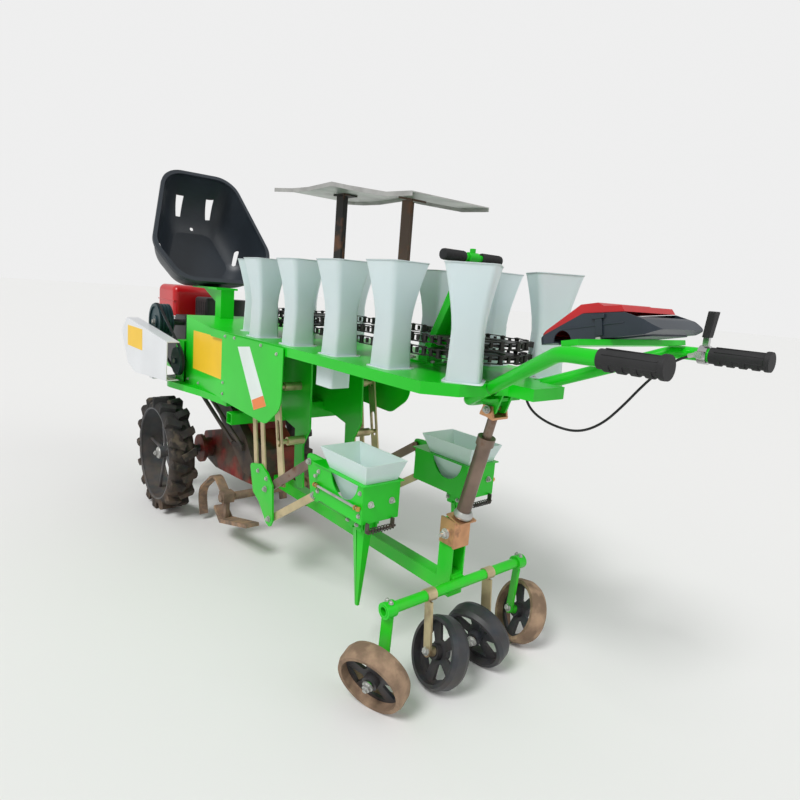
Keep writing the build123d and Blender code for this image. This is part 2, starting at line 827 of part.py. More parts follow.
def sprockets():
    """Two pairs of spoked wheels inside the chain loops, on shafts that stand on the table."""
    wheels = []
    rim = chain_ring_radius - sprocket_gap
    for x in (ring_front_x, ring_rear_x):
        wheel = Pos(x, 0, table_top) * extrude(Circle(22), chain_heights[1] - table_top + 16)
        for height in chain_heights:
            disc = extrude(Circle(rim) - Circle(rim - 40), 5)
            for index in range(3):
                disc += Rot(0, 0, 30 + index * 120) * block((18, rim - 30), (-11, 11), (0, 5))
            wheel += Pos(x, 0, height - 2.5) * disc
        wheels.append(wheel)
    return Compound(children=wheels)


def drop_tubes():
    """Straight square chutes under the holes in the table that lead each plant to its planter."""
    top_z = table_top - sheet
    body = Pos(drop_x, -row_y, drop_bottom) * extrude(RectangleRounded(82, 64, 8), top_z - drop_bottom)
    body -= Pos(drop_x, -row_y, drop_bottom) * extrude(RectangleRounded(78, 60, 6), top_z - drop_bottom)
    return both_sides(body)


# Seat

def seat_plane(depth):
    """A plane parallel to the seat's mouth; its x runs up the slope from the lip."""
    tilt = math.radians(seat_tilt)
    normal = Vector(math.sin(tilt), 0, math.cos(tilt))
    slope = Vector(-math.cos(tilt), 0, math.sin(tilt))
    origin = Vector(seat_lip[0], seat_y, seat_lip[1]) - normal * depth
    return Plane(origin=origin, x_dir=slope, z_dir=normal)


def seat_outline(low, high, wide, grow=0.0):
    """An egg-like outline: lines and arcs, widest at a third of its length."""
    low = low - grow
    high = high + grow
    wide = wide + grow
    span = high - low
    top = wide * 0.59
    foot = wide * 0.66
    points = [
        (low, -foot), (
            low + span * 0.30, -wide
        ), (high, -top), (high, top), (low + span * 0.30, wide), (low, foot),
    ]
    face = make_face(Polyline(*points, close=True))
    corner = min(span, 2 * wide) * 0.20
    return fillet(face.vertices(), corner)


SEAT_LEVELS = (
    # depth, low end, high end, half width
    (0.0, 12.0, 540.0, 248.0),
    (80.0, 38.0, 508.0, 228.0),
    (150.0, 76.0, 448.0, 190.0),
    (190.0, 128.0, 376.0, 140.0),
)


def seat_shell():
    """Bucket seat: a lofted shell with a rolled rim, back holes and strap slots."""
    outer = [seat_plane(d) * seat_outline(lo, hi, w) for d, lo, hi, w in SEAT_LEVELS]
    inner = []
    for index, (d, lo, hi, w) in enumerate(SEAT_LEVELS):
        depth = d - seat_wall if index == len(SEAT_LEVELS) - 1 else d
        inner.append(seat_plane(depth) * seat_outline(lo, hi, w, -seat_wall))
    shell = loft(outer) - loft(inner)
    _, lo, hi, w = SEAT_LEVELS[0]
    ring = seat_outline(lo, hi, w, 12) - seat_outline(lo, hi, w, -seat_wall)
    rim = seat_plane(0) * extrude(ring, 14)
    shell += rim
    for side in (-1, 1):
        window = Trapezoid(34, 66, 84, rotation=90)
        shell -= seat_plane(260) * Pos(468, side * 68 - 6) * extrude(window, 320)
        shell -= seat_plane(260) * Pos(236, side * 168) * extrude(
            SlotOverall(64, 16, rotation=side * 14), 320
        )
    shell -= seat_plane(260) * Pos(392, 0) * extrude(Circle(8), 320)
    return shell


def seat_post():
    """Box post on the cover, with the dished plate and the rib under the seat."""
    x = cover_front_x + 34
    base = cover_front_top - 2
    post_head = seat_post_top
    slope = (cover_front_top - (table_top - sheet)) / (table_front_x - cover_front_x)
    post = block((x - 28, x + 28), (seat_post_y - 28, seat_post_y + 28), (base - 12, post_head))
    under = side_plate(
        [
            (x - 40, 780), (x + 40, 780), (x + 40, cover_front_top - slope * 74 + 0.2),
            (x - 40, cover_front_top + slope * 6 + 0.2)
        ],
        (seat_post_y - 40, seat_post_y + 40),
    )
    post -= under
    plate = block((x - 230, x + 34), (seat_y - 60, seat_post_y + 40), (post_head - 8, post_head))
    rib = side_plate(
        [(x + 28, post_head - 8), (x - 220, post_head - 8), (x - 28, 880), (x + 28, 880)],
        (seat_post_y - 4, seat_post_y + 4),
    )
    outer = [seat_plane(d + fit_gap) * seat_outline(lo, hi, w, 1) for d, lo, hi, w in SEAT_LEVELS]
    rim = seat_plane(1) * extrude(seat_outline(*SEAT_LEVELS[0][1:], 13), 16)
    return post + plate + rib - loft(outer) - rim


# Tray rack and levers

TRAY_STATIONS = (
    # x, height
    (-100, 1313), (20, 1302), (116, 1298), (250, 1302), (330, 1286), (510, 1254), (612, 1249),
)


def tray():
    """Wavy sheet shelf with a folded lip along both sides."""
    upper = list(TRAY_STATIONS)
    lower = [(x, z - 2.5) for x, z in reversed(upper)]
    deck = side_plate(upper + lower, (-tray_half_width, tray_half_width))
    fold = [(x, z - 12) for x, z in reversed(upper)]
    lip = side_plate(upper + fold, (-tray_half_width, -tray_half_width + 2.5))
    return deck + lip + mirrored(lip)


def tray_height(x):
    for (x0, z0), (x1, z1) in zip(TRAY_STATIONS, TRAY_STATIONS[1:]):
        if x0 <= x <= x1:
            return z0 + (z1 - z0) * (x - x0) / (x1 - x0)
    return TRAY_STATIONS[0][1]


def tray_posts():
    """Two angle posts that stand on the table inside the chain loops."""
    posts = []
    for x in tray_post_x:
        top = min(tray_height(u) for u in (x - 30, x, x + 30)) - 3
        post = block((x - 20, x + 20), (-20, 20), (table_top, top))
        post -= block((x - 14, x + 21), (-14, 21), (table_top, top))
        post += block((x - 36, x + 36), (-30, 30), (table_top, table_top + 5))
        under = [(u, tray_height(u) - 8) for u in (x - 30, x + 30)]
        over = [(u, tray_height(u) - 2.5 - fit_gap) for u in (x + 30, x, x - 30)]
        posts.append(post + side_plate(under + over, (-26, 26)))
    return Compound(children=posts)


lever_foot = (566.0, 0.0, 826.0)
lever_head = (700.0, 0.0, 1102.0)
lever_tube_radius = 8.0
lever_grip_radius = 13.0


def lever_strut():
    """Inclined channel strut with its foot plate and the cross tube for two grips."""
    strut = flat_bar(lever_foot, lever_head, 56, 6, (1, 0, 0))
    for side in (-1, 1):
        a = (lever_foot[0] + 7, side * 25, lever_foot[2])
        b = (lever_head[0] + 7, side * 25, lever_head[2] - 12)
        strut += flat_bar(a, b, 20, 5, (0, 1, 0))
    foot = block((lever_foot[0] - 50, lever_foot[0] + 60), (-34, 34), (table_top, table_top + 6))
    gusset = block(
        (lever_foot[0] - 6, lever_foot[0] + 30), (-27.5, 27.5), (table_top + 4, table_top + 34)
    )
    tube = along(
        (lever_head[0], -94, lever_head[2]), (lever_head[0], 94, lever_head[2]), lever_tube_radius
    )
    strut = strut + foot + gusset + tube
    strut -= block((500, 900), (-60, 60), (table_top - 30, table_top))
    return strut


def handlebar():
    """One tube bent to a U from its nose, with the cheeks that join it to the table and the screw column."""
    bx, by, bz = handle_bend
    ax, ay, az = apex
    points = [
        (handle_end_x - 4, -by, handle_end_z), (bx, -by, bz), (ax, -ay, az),
        (ax, ay, az), (bx, by, bz), (handle_end_x - 4, by, handle_end_z),
    ]
    tube = swept_tube(points, (70, 42, 42, 70), handle_radius)
    pin_x = column_head[0] + 4
    pin_z = column_head[2] + column_pin_rise
    plate = block((pin_x - 30, pin_x + 26), (-56, 56), (az + 14, az + 22))
    cheek = side_plate(
        [(pin_x - 16, pin_z - 11), (pin_x + 16, pin_z - 11), (pin_x + 34, az + 30), (pin_x + 34, table_top - sheet),
         (pin_x - 34, table_top - sheet), (pin_x - 34, az + 20)],
        (15, 21),
        rounds=((0, 10), (1, 10)),
    )
    cheeks = cheek + mirrored(cheek)
    cheeks -= along((pin_x, -22, pin_z), (pin_x, 22, pin_z), column_pin_radius + fit_gap)
    strap = box_slope_plane() * block((132, 166), (-204, 204), (-11, 0))
    return tube + plate + cheeks + strap


def grips():
    """Rubber grips on the handlebar ends and on the lever's cross tube."""
    made = []
    _, by, bz = handle_bend
    slope = math.atan2(handle_end_z - bz, handle_end_x - 4 - handle_bend[0])
    for side in (-1, 1):
        end = Vector(handle_end_x, side * by, handle_end_z + 4 * math.tan(slope))
        axis = Vector(-math.cos(slope), 0, -math.sin(slope))
        plane = Plane(origin=end, x_dir=(0, 1, 0), z_dir=axis)
        grip = plane * extrude(Circle(grip_radius), grip_length)
        grip += plane * extrude(Circle(grip_radius + 3), 10)
        for index in range(4):
            bump = plane * Pos(0, 0, 26 + index * 24) * Pos(0, 4) * Cylinder(grip_radius - 1, 12)
            grip += bump
        socket = Plane(origin=end + axis * 3.9, z_dir=axis) * extrude(
            Circle(handle_radius + fit_gap), grip_length
        )
        made.append(grip - socket)
        lever_grip = along(
            (lever_head[0], side * 31, lever_head[2]), (lever_head[0], side * 102, lever_head[2]),
            lever_grip_radius
        )
        lever_bore = along(
            (lever_head[0], side * 25, lever_head[2]), (
                lever_head[0], side * 94.5, lever_head[2]
            ), lever_tube_radius + fit_gap
        )
        made.append(lever_grip - lever_bore)
    return Compound(children=made)


def clutch_lever():
    """Clamp, cable stop and small lever on the far handlebar grip's inner end."""
    _, by, bz = handle_bend
    x = clutch_x
    z = bz + (handle_end_z - bz) * (x - handle_bend[0]) / (handle_end_x - handle_bend[0])
    clamp = hollow_along((x - 9, by, z), (x + 9, by, z), handle_radius + 6, handle_radius + 2 * fit_gap)
    stop = block((x - 9, x + 5), (by - 30, by - 18), (z - 7, z + 7))
    stem = block((x - 6, x + 6), (by - 5, by + 5), (z + handle_radius + 3, z + 44))
    lever = side_plate(
        [(x - 7, z + 38), (x + 7, z + 38), (x + 14, z + 92), (x - 2, z + 92)], (by - 10, by + 10)
    )
    return clamp + stop + stem + lever


def box_slope_plane():
    """The plane on which the tool box lies, rising to the rear."""
    angle = math.radians(box_slope)
    along_slope = (math.cos(angle), 0, math.sin(angle))
    return Plane(
        origin=(box_foot[0], 0, box_foot[1]), x_dir=along_slope,
        z_dir=(-math.sin(angle), 0, math.cos(angle))
    )


def box_form(profile, width, length, corner, start=0.0):
    """A side profile cut to a plan with round corners, in the slope plane's own frame."""
    side = Plane(origin=(0, width, 0), x_dir=(1, 0, 0), z_dir=(0, -1, 0)) * extrude(
        make_face(Polyline(*profile, close=True)), 2 * width
    )
    plan = Pos(start + length / 2, 0, -20) * extrude(RectangleRounded(length, width, corner), 140)
    return side & plan


def tool_box():
    """Moulded tray of the tool box with an arched notch, on a thin support plate."""
    length = box_length
    profile = [(0, 3), (length - 24, 3), (length, 10), (length - 24, 30), (196, 47), (112, 54), (0, 14)]
    inside = [
        (-9, 6), (length - 26, 6), (length - 10, 14), (length - 32, 31), (192, 62), (112, 68), (-9, 19)
    ]
    body = box_form(profile, box_width, length, 30)
    body -= box_form(inside, box_width - 6, length - 6, 27, 3)
    plate = Pos(length / 2 + 4, 0, 0) * extrude(RectangleRounded(length - 60, box_width - 44, 14), 3)
    body -= Pos(64, -box_width / 2, 6) * Rot(90, 0, 0) * Cylinder(20, 60)
    u, w = lid_hinge
    for side in (-1, 1):
        knuckle = along((u, side * 52, w), (u, side * 70, w), lid_hinge_radius)
        body += knuckle + block((u - 5, u), (side * 52, side * 70), (8, w))
    return box_slope_plane() * (body + plate)


def tool_box_lid():
    """Humped lid of the tool box, hinged along its front edge."""
    length = box_length
    profile = [
        (4, 16), (112, 55), (196, 48), (190, 60), (156, 63), (144, 71), (108, 72), (8, 22),
    ]
    inside = [(16, 14), (112, 50), (188, 44), (185, 56), (154, 59), (142, 67), (109, 68), (16, 22)]
    lid = box_form(profile, box_width - 8, length - 8, 26, 4)
    lid -= box_form(inside, box_width - 16, length - 16, 22, 8)
    u, w = lid_hinge
    for side in (-1, 1):
        lid -= block((u - 9, u + 7), (side * 50, side * 72), (w - 14, w + 12))
    lid += along((u, -51, w), (u, 51, w), lid_hinge_radius)
    return box_slope_plane() * lid


# Planter linkage

def link_end(pivot, degrees):
    angle = math.radians(degrees)
    return pivot[0] + link_length * math.cos(angle), pivot[1] + link_length * math.sin(angle)


def planter_bracket():
    """Curved plate that carries both links; near side."""
    outline = [
        (-59, 381), (19, 399), (70, 380), (106, 348), (118, 234), (100, 204), (74, 210), (14, 268), (-30, 288),
    ]
    y = (-link_y - link_thick / 2 - 2 - bar_plate, -link_y - link_thick / 2 - 2)
    plate = side_plate(outline, y, rounds=((0, 14), (1, 14), (4, 12), (5, 12), (7, 14), (8, 16)))
    for x, z in (upper_pivot, lower_pivot):
        plate -= along((x, y[0] - 1, z), (x, y[1] + 1, z), link_pin_radius + pin_gap)
    return plate


def lift_direction():
    """Unit vector of the lift rod, from its lower pin up, in X and Z."""
    low = math.radians(link_angle - 42)
    high = math.radians(link_angle)
    dx = lift_pin_reach * (math.cos(high) - math.cos(low))
    dz = lift_pin_reach * (math.sin(high) - math.sin(low))
    size = math.hypot(dx, dz)
    return dx / size, dz / size


def lift_pin():
    angle = math.radians(link_angle)
    return upper_pivot[0] + lift_pin_reach * math.cos(angle), upper_pivot[1] + lift_pin_reach * math.sin(angle)


stub_heights = (495.0, 670.0)


def rod_point(z):
    """X of the lift rod's centre line at a height, and the distance from its pin."""
    ux, uz = lift_direction()
    px, pz = lift_pin()
    s = (z - pz) / uz
    return px + ux * s, s


def lift_guides():
    """Fixed zinc parts: the slim hanger bars and the two guide stubs; near side."""
    y0 = -link_y - link_thick / 2 - 2
    plate_y = -rail_y - rail_width / 2 - bar_plate
    top = table_top - sheet - bar_plate
    parts = []
    for x_low, x_high in ((-24, -96), (34, -40)):
        bar = flat_bar((x_low, y0 + 2.5, 366), (x_high, y0 + 2.5, top + 20), 24, 5, (0, 1, 0))
        bar -= block((-200, 200), (-300, -100), (top, top + 60))
        parts.append(bar)
    for z in stub_heights:
        x, _ = rod_point(z)
        stub = along((x, plate_y, z), (x, -link_y + 1, z), 8)
        stub += along((x, plate_y, z), (x, plate_y - 60, z), 14)
        parts.append(stub)
    return parts


def lift_rod():
    """Broad slotted bar that hangs the upper link; near side."""
    ux, uz = lift_direction()
    px, pz = lift_pin()
    y = (-link_y + link_thick / 2 + 1, -link_y + link_thick / 2 + 1 + bar_plate)
    axis = Vector(ux, 0, uz)
    low = Vector(px, 0, pz) - axis * 18
    plane = Plane(origin=(low.X, y[1], low.Z), x_dir=axis, z_dir=(0, -1, 0))
    rod = plane * Pos(205, 0) * extrude(Rectangle(410, 36), bar_plate)
    eye = SlotOverall(2 * (link_pin_radius + 8), 2 * (link_pin_radius + 2 * fit_gap), rotation=90)
    rod -= plane * Pos(18, 0, -1) * extrude(eye, bar_plate + 2)
    for z in stub_heights:
        _, s = rod_point(z)
        middle = 18 + s + lift_travel / 2 - 3
        slot = Pos(middle, 0, -1) * extrude(SlotOverall(lift_travel + 2 * 9 + 10, 18), bar_plate + 2)
        rod -= plane * slot
    return rod


def upper_link():
    """Flat link with its end pins towards the outside and the lift pin towards the middle; near side."""
    ex, ez = link_end(upper_pivot, link_angle)
    y = -link_y
    outer_y = y - link_thick / 2 - 2 - bar_plate - 3
    link = flat_bar((upper_pivot[0], y, upper_pivot[1]), (ex, y, ez), link_height, link_thick, (0, 1, 0))
    for x, z in (upper_pivot, (ex, ez)):
        link += along((x, y - link_thick / 2, z), (x, y + link_thick / 2, z), link_height / 2)
        link += along((x, outer_y, z), (x, y, z), link_pin_radius)
    px, pz = lift_pin()
    link += along((px, y, pz), (px, y + link_thick / 2 + 1 + bar_plate + 3, pz), link_pin_radius)
    return link


def lower_link():
    ex, ez = link_end(lower_pivot, link_angle)
    y = -link_y
    outer_y = y - link_thick / 2 - 2 - bar_plate - 3
    link = flat_bar(
        (lower_pivot[0], y, lower_pivot[1]), (ex, y, ez), link_height - 4, link_thick, (0, 1, 0)
    )
    for x, z in (lower_pivot, (ex, ez)):
        link += along((x, y - link_thick / 2, z), (x, y + link_thick / 2, z), link_height / 2 - 2)
        link += along((x, outer_y, z), (x, y, z), link_pin_radius)
    return link


def funnel_section(z, grow=0.0):
    """Middle and size of the funnel at a height."""
    share = (z - funnel_bottom) / (funnel_top - funnel_bottom)
    middle = beak_x - 4 + (funnel_x - beak_x + 4) * share
    a = 74 + (funnel_mouth[0] - 74) * share + grow
    b = 52 + (funnel_mouth[1] - 52) * share + grow
    return middle, a, b


def planter_box():
    """Sheet box round the funnel, with its top plate, the lug plate for the links and the beak ears; near side."""
    y0 = -row_y - box_half_width
    y1 = -row_y + box_half_width
    box = block(box_x, (y0, y1), box_z) - block(
        (box_x[0] + sheet, box_x[1] - sheet), (y0 + sheet, y1 - sheet), (box_z[0] - 1, box_z[1] + 1)
    )
    for side in (-1, 1):
        y = -row_y + side * box_half_width
        box -= along((funnel_x + 6, y - 5, box_z[1] + 4), (funnel_x + 6, y + 5, box_z[1] + 4), 62)
    top = block((box_x[0] - 8, box_x[1] + 8), (y0 - 6, y1 + 6), (box_z[1], box_z[1] + sheet))
    middle, a, b = funnel_section(box_z[1] + sheet, 2 * fit_gap)
    top -= block(
        (middle - a / 2, middle + a / 2), (-row_y - b / 2, -row_y + b / 2), (box_z[1] - 1, box_z[1] + 9)
    )
    floor = block((box_x[0] + 60, box_x[1]), (y0, y1), (box_z[0], box_z[0] + sheet))
    floor -= block((beak_x - 40, beak_x + 40), (-row_y - 26, -row_y + 26), (box_z[0] - 1, box_z[0] + 9))
    plate_y = (-link_y - link_thick / 2 - 2 - bar_plate, -link_y - link_thick / 2 - 2)
    ux, uz = link_end(upper_pivot, link_angle)
    lx, lz = link_end(lower_pivot, link_angle)
    lug = side_plate(
        [
            (ux - 18, uz + 22), (ux + 20, uz + 26), (box_x[0] + 40, box_z[1]),
            (box_x[0] + 40, box_z[0] + 6), (lx + 14, lz - 16), (lx - 16, lz - 12)
        ],
        plate_y,
        rounds=((0, 14), (4, 12), (5, 10)),
    )
    for x, z in ((ux, uz), (lx, lz)):
        lug -= along((x, plate_y[0] - 1, z), (x, plate_y[1] + 1, z), link_pin_radius + pin_gap)
    unit = box + top + floor + lug
    for x in (beak_x - 20, beak_x + 20):
        unit += along((x, -row_y - 34, beak_top - 6), (x, -row_y + 34, beak_top - 6), 4)
    for side in (-1, 1):
        y = -row_y + side * 31
        unit += block((beak_x - 28, beak_x + 28), (y - 2.5, y + 2.5), (beak_top - 14, box_z[0] + 1))
    return unit


def funnel():
    """Rectangular tapered funnel with a thin wall; near side."""
    outer = []
    inner = []
    for z in (funnel_bottom, funnel_top):
        middle, a, b = funnel_section(z)
        outer.append(Pos(middle, -row_y, z) * Rectangle(a, b))
        inner.append(Pos(middle, -row_y, z) * Rectangle(a - 5, b - 5))
    return loft(outer, ruled=True) - loft(inner, ruled=True)


def beak_jaw(half):
    """One half of the beak: half is -1 for the front jaw, 1 for the rear jaw; near side."""
    top_x = 28.0
    top_y = 20.0
    tip_x = 6.0
    tip_y = 5.0
    tip_split = 0.4
    top_split = 2.4

    def ring(z, wx, wy, split):
        inner = beak_x + half * split
        outer = beak_x + half * wx
        points = [(inner, -wy), (outer, -wy * 0.7), (outer, wy * 0.7), (inner, wy)]
        return Pos(0, -row_y, z) * make_face(Polyline(*points, close=True))

    body = loft(
        [ring(beak_tip, tip_x, tip_y, tip_split), ring(beak_top, top_x, top_y, top_split)], ruled=True
    )
    wall = 3.0
    hollow = loft(
        [
            ring(beak_tip + 20, tip_x - wall, tip_y - wall, 0),
            ring(beak_top + 1, top_x - wall, top_y - wall, 0)
        ],
        ruled=True,
    )
    jaw = body - hollow
    for side in (-1, 1):
        y = -row_y + side * 24
        ear = block(
            (beak_x + half * 8, beak_x + half * 30), (y - 3, y + 3), (beak_top - 26, beak_top + 4)
        )
        jaw += ear
        y = -row_y + side * 19
        jaw += block(
            (beak_x + half * 10, beak_x + half * 24), (y - 3, y + 3), (beak_top - 26, beak_top - 1)
        )
    pin = along(
        (beak_x + half * 20, -row_y - 40, beak_top - 6), (beak_x + half * 20, -row_y + 40, beak_top - 6),
        4 + pin_gap
    )
    return jaw - pin


# Clutch cable from the table's tongue to the far grip

cable_radius = 3.0
CABLE_POINTS = (
    (882, 24, 815), (887, 30, 776), (908, 43, 742), (950, 66, 720), (1000, 94, 713), (1038, 126, 738),
    (1066, 156, 784), (1096, 178, 838), (1134, 188, 886), (1166, 190, 910), (1194, 190, 921),
)


def clutch_cable():
    points = [Vector(*p) for p in CABLE_POINTS]
    radii = []
    for a, b, c in zip(points, points[1:], points[2:]):
        turn = math.radians((b - a).get_angle(c - b))
        radii.append(0.45 * min((b - a).length, (c - b).length) / math.tan(turn / 2))
    print("cable radii", [round(r) for r in radii])
    path = FilletPolyline(*points, radius=radii)
    return sweep(Plane(origin=path @ 0, z_dir=path % 0) * Circle(cable_radius), path=path)


def placed_wheel(shape, x, y, z, side):
    """Turn a wheel about Z into one about Y; its inner side faces the machine."""
    return Plane(origin=(x, side * y, z), x_dir=(1, 0, 0), z_dir=(0, -side, 0)) * shape


def build():
    nodes = {}
    tyre = drive_tyre()
    stub_end = drive_wheel_y - axle_tube_half + 30
    rim = drive_rim(stub_end)
    for name, side in SIDES:
        nodes[f"drive_tyre_{name}"] = placed_wheel(tyre, drive_axle_x, drive_wheel_y, drive_radius, side)
        nodes[f"drive_rim_{name}"] = placed_wheel(rim, drive_axle_x, drive_wheel_y, drive_radius, side)
    wheel = press_wheel()
    for kind, (x, y, camber, toe, arm_side) in PRESS_WHEELS.items():
        for name, side in SIDES:
            plane, _ = press_place(x, y, camber, toe, arm_side, side)
            nodes[f"press_wheel_{kind}_{name}"] = plane * wheel
        nodes[f"{kind}_press_arms"] = Compound(children=[press_arm(kind, -1), press_arm(kind, 1)])
    nodes["gauge_beam"] = gauge_beam()
    nodes["cross_bar"] = cross_bar()
    nodes["screw_column"] = screw_column()
    nodes["column_brackets"] = column_brackets()
    nodes["chassis_rails"] = chassis_rails()
    nodes["gearbox"] = gearbox()
    nodes["chain_case"] = chain_case()
    nodes["stays"] = stays()
    nodes["tines"] = tines()
    nodes["engine_block"] = engine_block()
    nodes["engine_cowl"] = engine_cowl()
    nodes["muffler"] = muffler()
    nodes["belt_drive"] = belt_drive()
    nodes["belt_guard"] = belt_guard()
    nodes["cover_box"] = cover_box()
    nodes["fenders"] = fenders()
    nodes["side_plates"] = side_plates()
    nodes["table"] = table()
    nodes["cups"] = cups()
    nodes["cup_chain"] = cup_chain()
    nodes["sprockets"] = sprockets()
    nodes["drop_tubes"] = drop_tubes()
    nodes["seat_shell"] = seat_shell()
    nodes["seat_post"] = seat_post()
    nodes["tray"] = tray()
    nodes["tray_posts"] = tray_posts()
    nodes["lever_strut"] = lever_strut()
    nodes["handlebar"] = handlebar()
    nodes["grips"] = grips()
    nodes["clutch_lever"] = clutch_lever()
    nodes["clutch_cable"] = clutch_cable()
    nodes["tool_box"] = tool_box()
    nodes["tool_box_lid"] = tool_box_lid()
    nodes["planter_brackets"] = both_sides(planter_bracket())
    guides = lift_guides()
    nodes["lift_guides"] = Compound(children=guides + [mirrored(g) for g in guides])
    makers = (
        ("lift_rod", lift_rod), ("upper_link", upper_link), ("lower_link", lower_link),
        ("planter_box", planter_box), ("funnel", funnel),
        ("front_jaw", lambda: beak_jaw(-1)), ("rear_jaw", lambda: beak_jaw(1)),
    )
    for name, maker in makers:
        piece = maker()
        nodes[f"{name}_near"] = piece
        nodes[f"{name}_far"] = mirrored(piece)
    return nodes


if __name__ == "__main__":
    os.makedirs("parts", exist_ok=True)
    for node, shape in build().items():
        export_step(shape, f"parts/{node}.step")
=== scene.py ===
"""Riding vegetable transplanter: materials, small parts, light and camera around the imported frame."""
import json
import math

import bmesh
import bpy
from mathutils import Matrix, Vector


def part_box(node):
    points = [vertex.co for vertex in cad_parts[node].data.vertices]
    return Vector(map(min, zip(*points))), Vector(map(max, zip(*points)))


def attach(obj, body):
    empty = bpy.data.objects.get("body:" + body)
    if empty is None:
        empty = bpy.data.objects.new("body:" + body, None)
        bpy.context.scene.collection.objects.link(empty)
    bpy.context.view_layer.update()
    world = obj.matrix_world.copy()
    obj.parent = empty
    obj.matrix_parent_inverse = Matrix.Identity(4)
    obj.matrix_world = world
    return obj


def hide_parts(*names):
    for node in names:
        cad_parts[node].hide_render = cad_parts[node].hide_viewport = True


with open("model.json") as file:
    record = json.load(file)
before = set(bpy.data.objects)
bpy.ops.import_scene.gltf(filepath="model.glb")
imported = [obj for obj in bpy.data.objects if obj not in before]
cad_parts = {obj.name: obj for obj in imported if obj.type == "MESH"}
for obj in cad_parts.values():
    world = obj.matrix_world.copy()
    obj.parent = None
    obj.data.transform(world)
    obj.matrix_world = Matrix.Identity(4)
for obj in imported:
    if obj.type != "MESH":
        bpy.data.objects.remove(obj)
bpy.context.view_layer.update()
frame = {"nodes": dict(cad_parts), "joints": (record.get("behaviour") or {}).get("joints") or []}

# Lengths below are in millimetres in the row frame; MM turns them into Blender's metres.
MM = 0.001
SIDES = (("near", -1), ("far", 1))
SHARP = math.radians(32)
JOINTS = {joint["name"]: joint for joint in frame["joints"]}


def node_box(name):
    """Low and high corner of a CAD node, in millimetres."""
    low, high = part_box(name)
    return low / MM, high / MM


# Materials

SOIL = (0.34, 0.21, 0.125)


def mixed(tree, factor, low, high):
    """A colour mix of two colours or sockets by a socket."""
    mix = tree.nodes.new("ShaderNodeMix")
    mix.data_type = "RGBA"
    tree.links.new(factor, mix.inputs[0])
    for index, value in ((6, low), (7, high)):
        if isinstance(value, tuple):
            mix.inputs[index].default_value = (*value, 1)
        else:
            tree.links.new(value, mix.inputs[index])
    return mix.outputs[2]


def ranged(tree, value, low, high, to_low=0.0, to_high=1.0):
    """A socket's value stretched from one range to another."""
    node = tree.nodes.new("ShaderNodeMapRange")
    tree.links.new(value, node.inputs["Value"])
    node.inputs["From Min"].default_value = low
    node.inputs["From Max"].default_value = high
    node.inputs["To Min"].default_value = to_low
    node.inputs["To Max"].default_value = to_high
    return node.outputs["Result"]


def noise(tree, place, scale, detail=5.0):
    node = tree.nodes.new("ShaderNodeTexNoise")
    node.inputs["Scale"].default_value = scale
    node.inputs["Detail"].default_value = detail
    tree.links.new(place, node.inputs["Vector"])
    return node.outputs["Fac"]


def times(tree, a, b):
    node = tree.nodes.new("ShaderNodeMath")
    node.operation = "MULTIPLY"
    tree.links.new(a, node.inputs[0])
    tree.links.new(b, node.inputs[1])
    return node.outputs[0]


def surface(
    name, colour, rough, metal=0.0, mottle=0.10, scale=9.0,
    patch=None, split=None, dust=0.0, dust_top=0.5,
    grain=0.0, grain_scale=260.0, soft=0.0, coat=0.0, gloss=0.5,
):
    """A finish: mottled colour with patches, a colour split along x, dust from the ground up and grain."""
    material = bpy.data.materials.new(name)
    material.use_nodes = True
    tree = material.node_tree
    shader = tree.nodes["Principled BSDF"]
    shader.inputs["Roughness"].default_value = rough
    shader.inputs["Metallic"].default_value = metal
    shader.inputs["Coat Weight"].default_value = coat
    shader.inputs["Specular IOR Level"].default_value = gloss
    if soft:
        shader.inputs["Subsurface Weight"].default_value = soft
        shader.inputs["Subsurface Radius"].default_value = (0.02, 0.022, 0.024)
        shader.inputs["Subsurface Scale"].default_value = 1.0
    place = tree.nodes.new("ShaderNodeTexCoord").outputs["Object"]
    low = tuple(c * (1 - mottle) for c in colour)
    high = tuple(min(1.0, c * (1 + mottle)) for c in colour)
    shade = mixed(tree, ranged(tree, noise(tree, place, scale), 0.35, 0.65), low, high)
    if split or dust:
        parts = tree.nodes.new("ShaderNodeSeparateXYZ")
        tree.links.new(place, parts.inputs[0])
    if split:
        at, other = split
        shade = mixed(tree, ranged(tree, parts.outputs["X"], at - 0.001, at + 0.001), shade, other)
    if patch:
        other, share, patch_scale = patch
        spots = ranged(tree, noise(tree, place, patch_scale, 8.0), 0.62 - share * 0.3, 0.70 - share * 0.2)
        shade = mixed(tree, spots, shade, other)
    if dust:
        rise = ranged(tree, parts.outputs["Z"], 0.0, dust_top, dust, 0.0)
        spread = ranged(tree, noise(tree, place, 22.0, 7.0), 0.30, 0.62)
        shade = mixed(tree, times(tree, rise, spread), shade, SOIL)
    tree.links.new(shade, shader.inputs["Base Color"])
    if grain:
        bump = tree.nodes.new("ShaderNodeBump")
        bump.inputs["Strength"].default_value = grain
        bump.inputs["Distance"].default_value = 0.001
        tree.links.new(noise(tree, place, grain_scale, 3.0), bump.inputs["Height"])
        tree.links.new(bump.outputs[0], shader.inputs["Normal"])
    return material


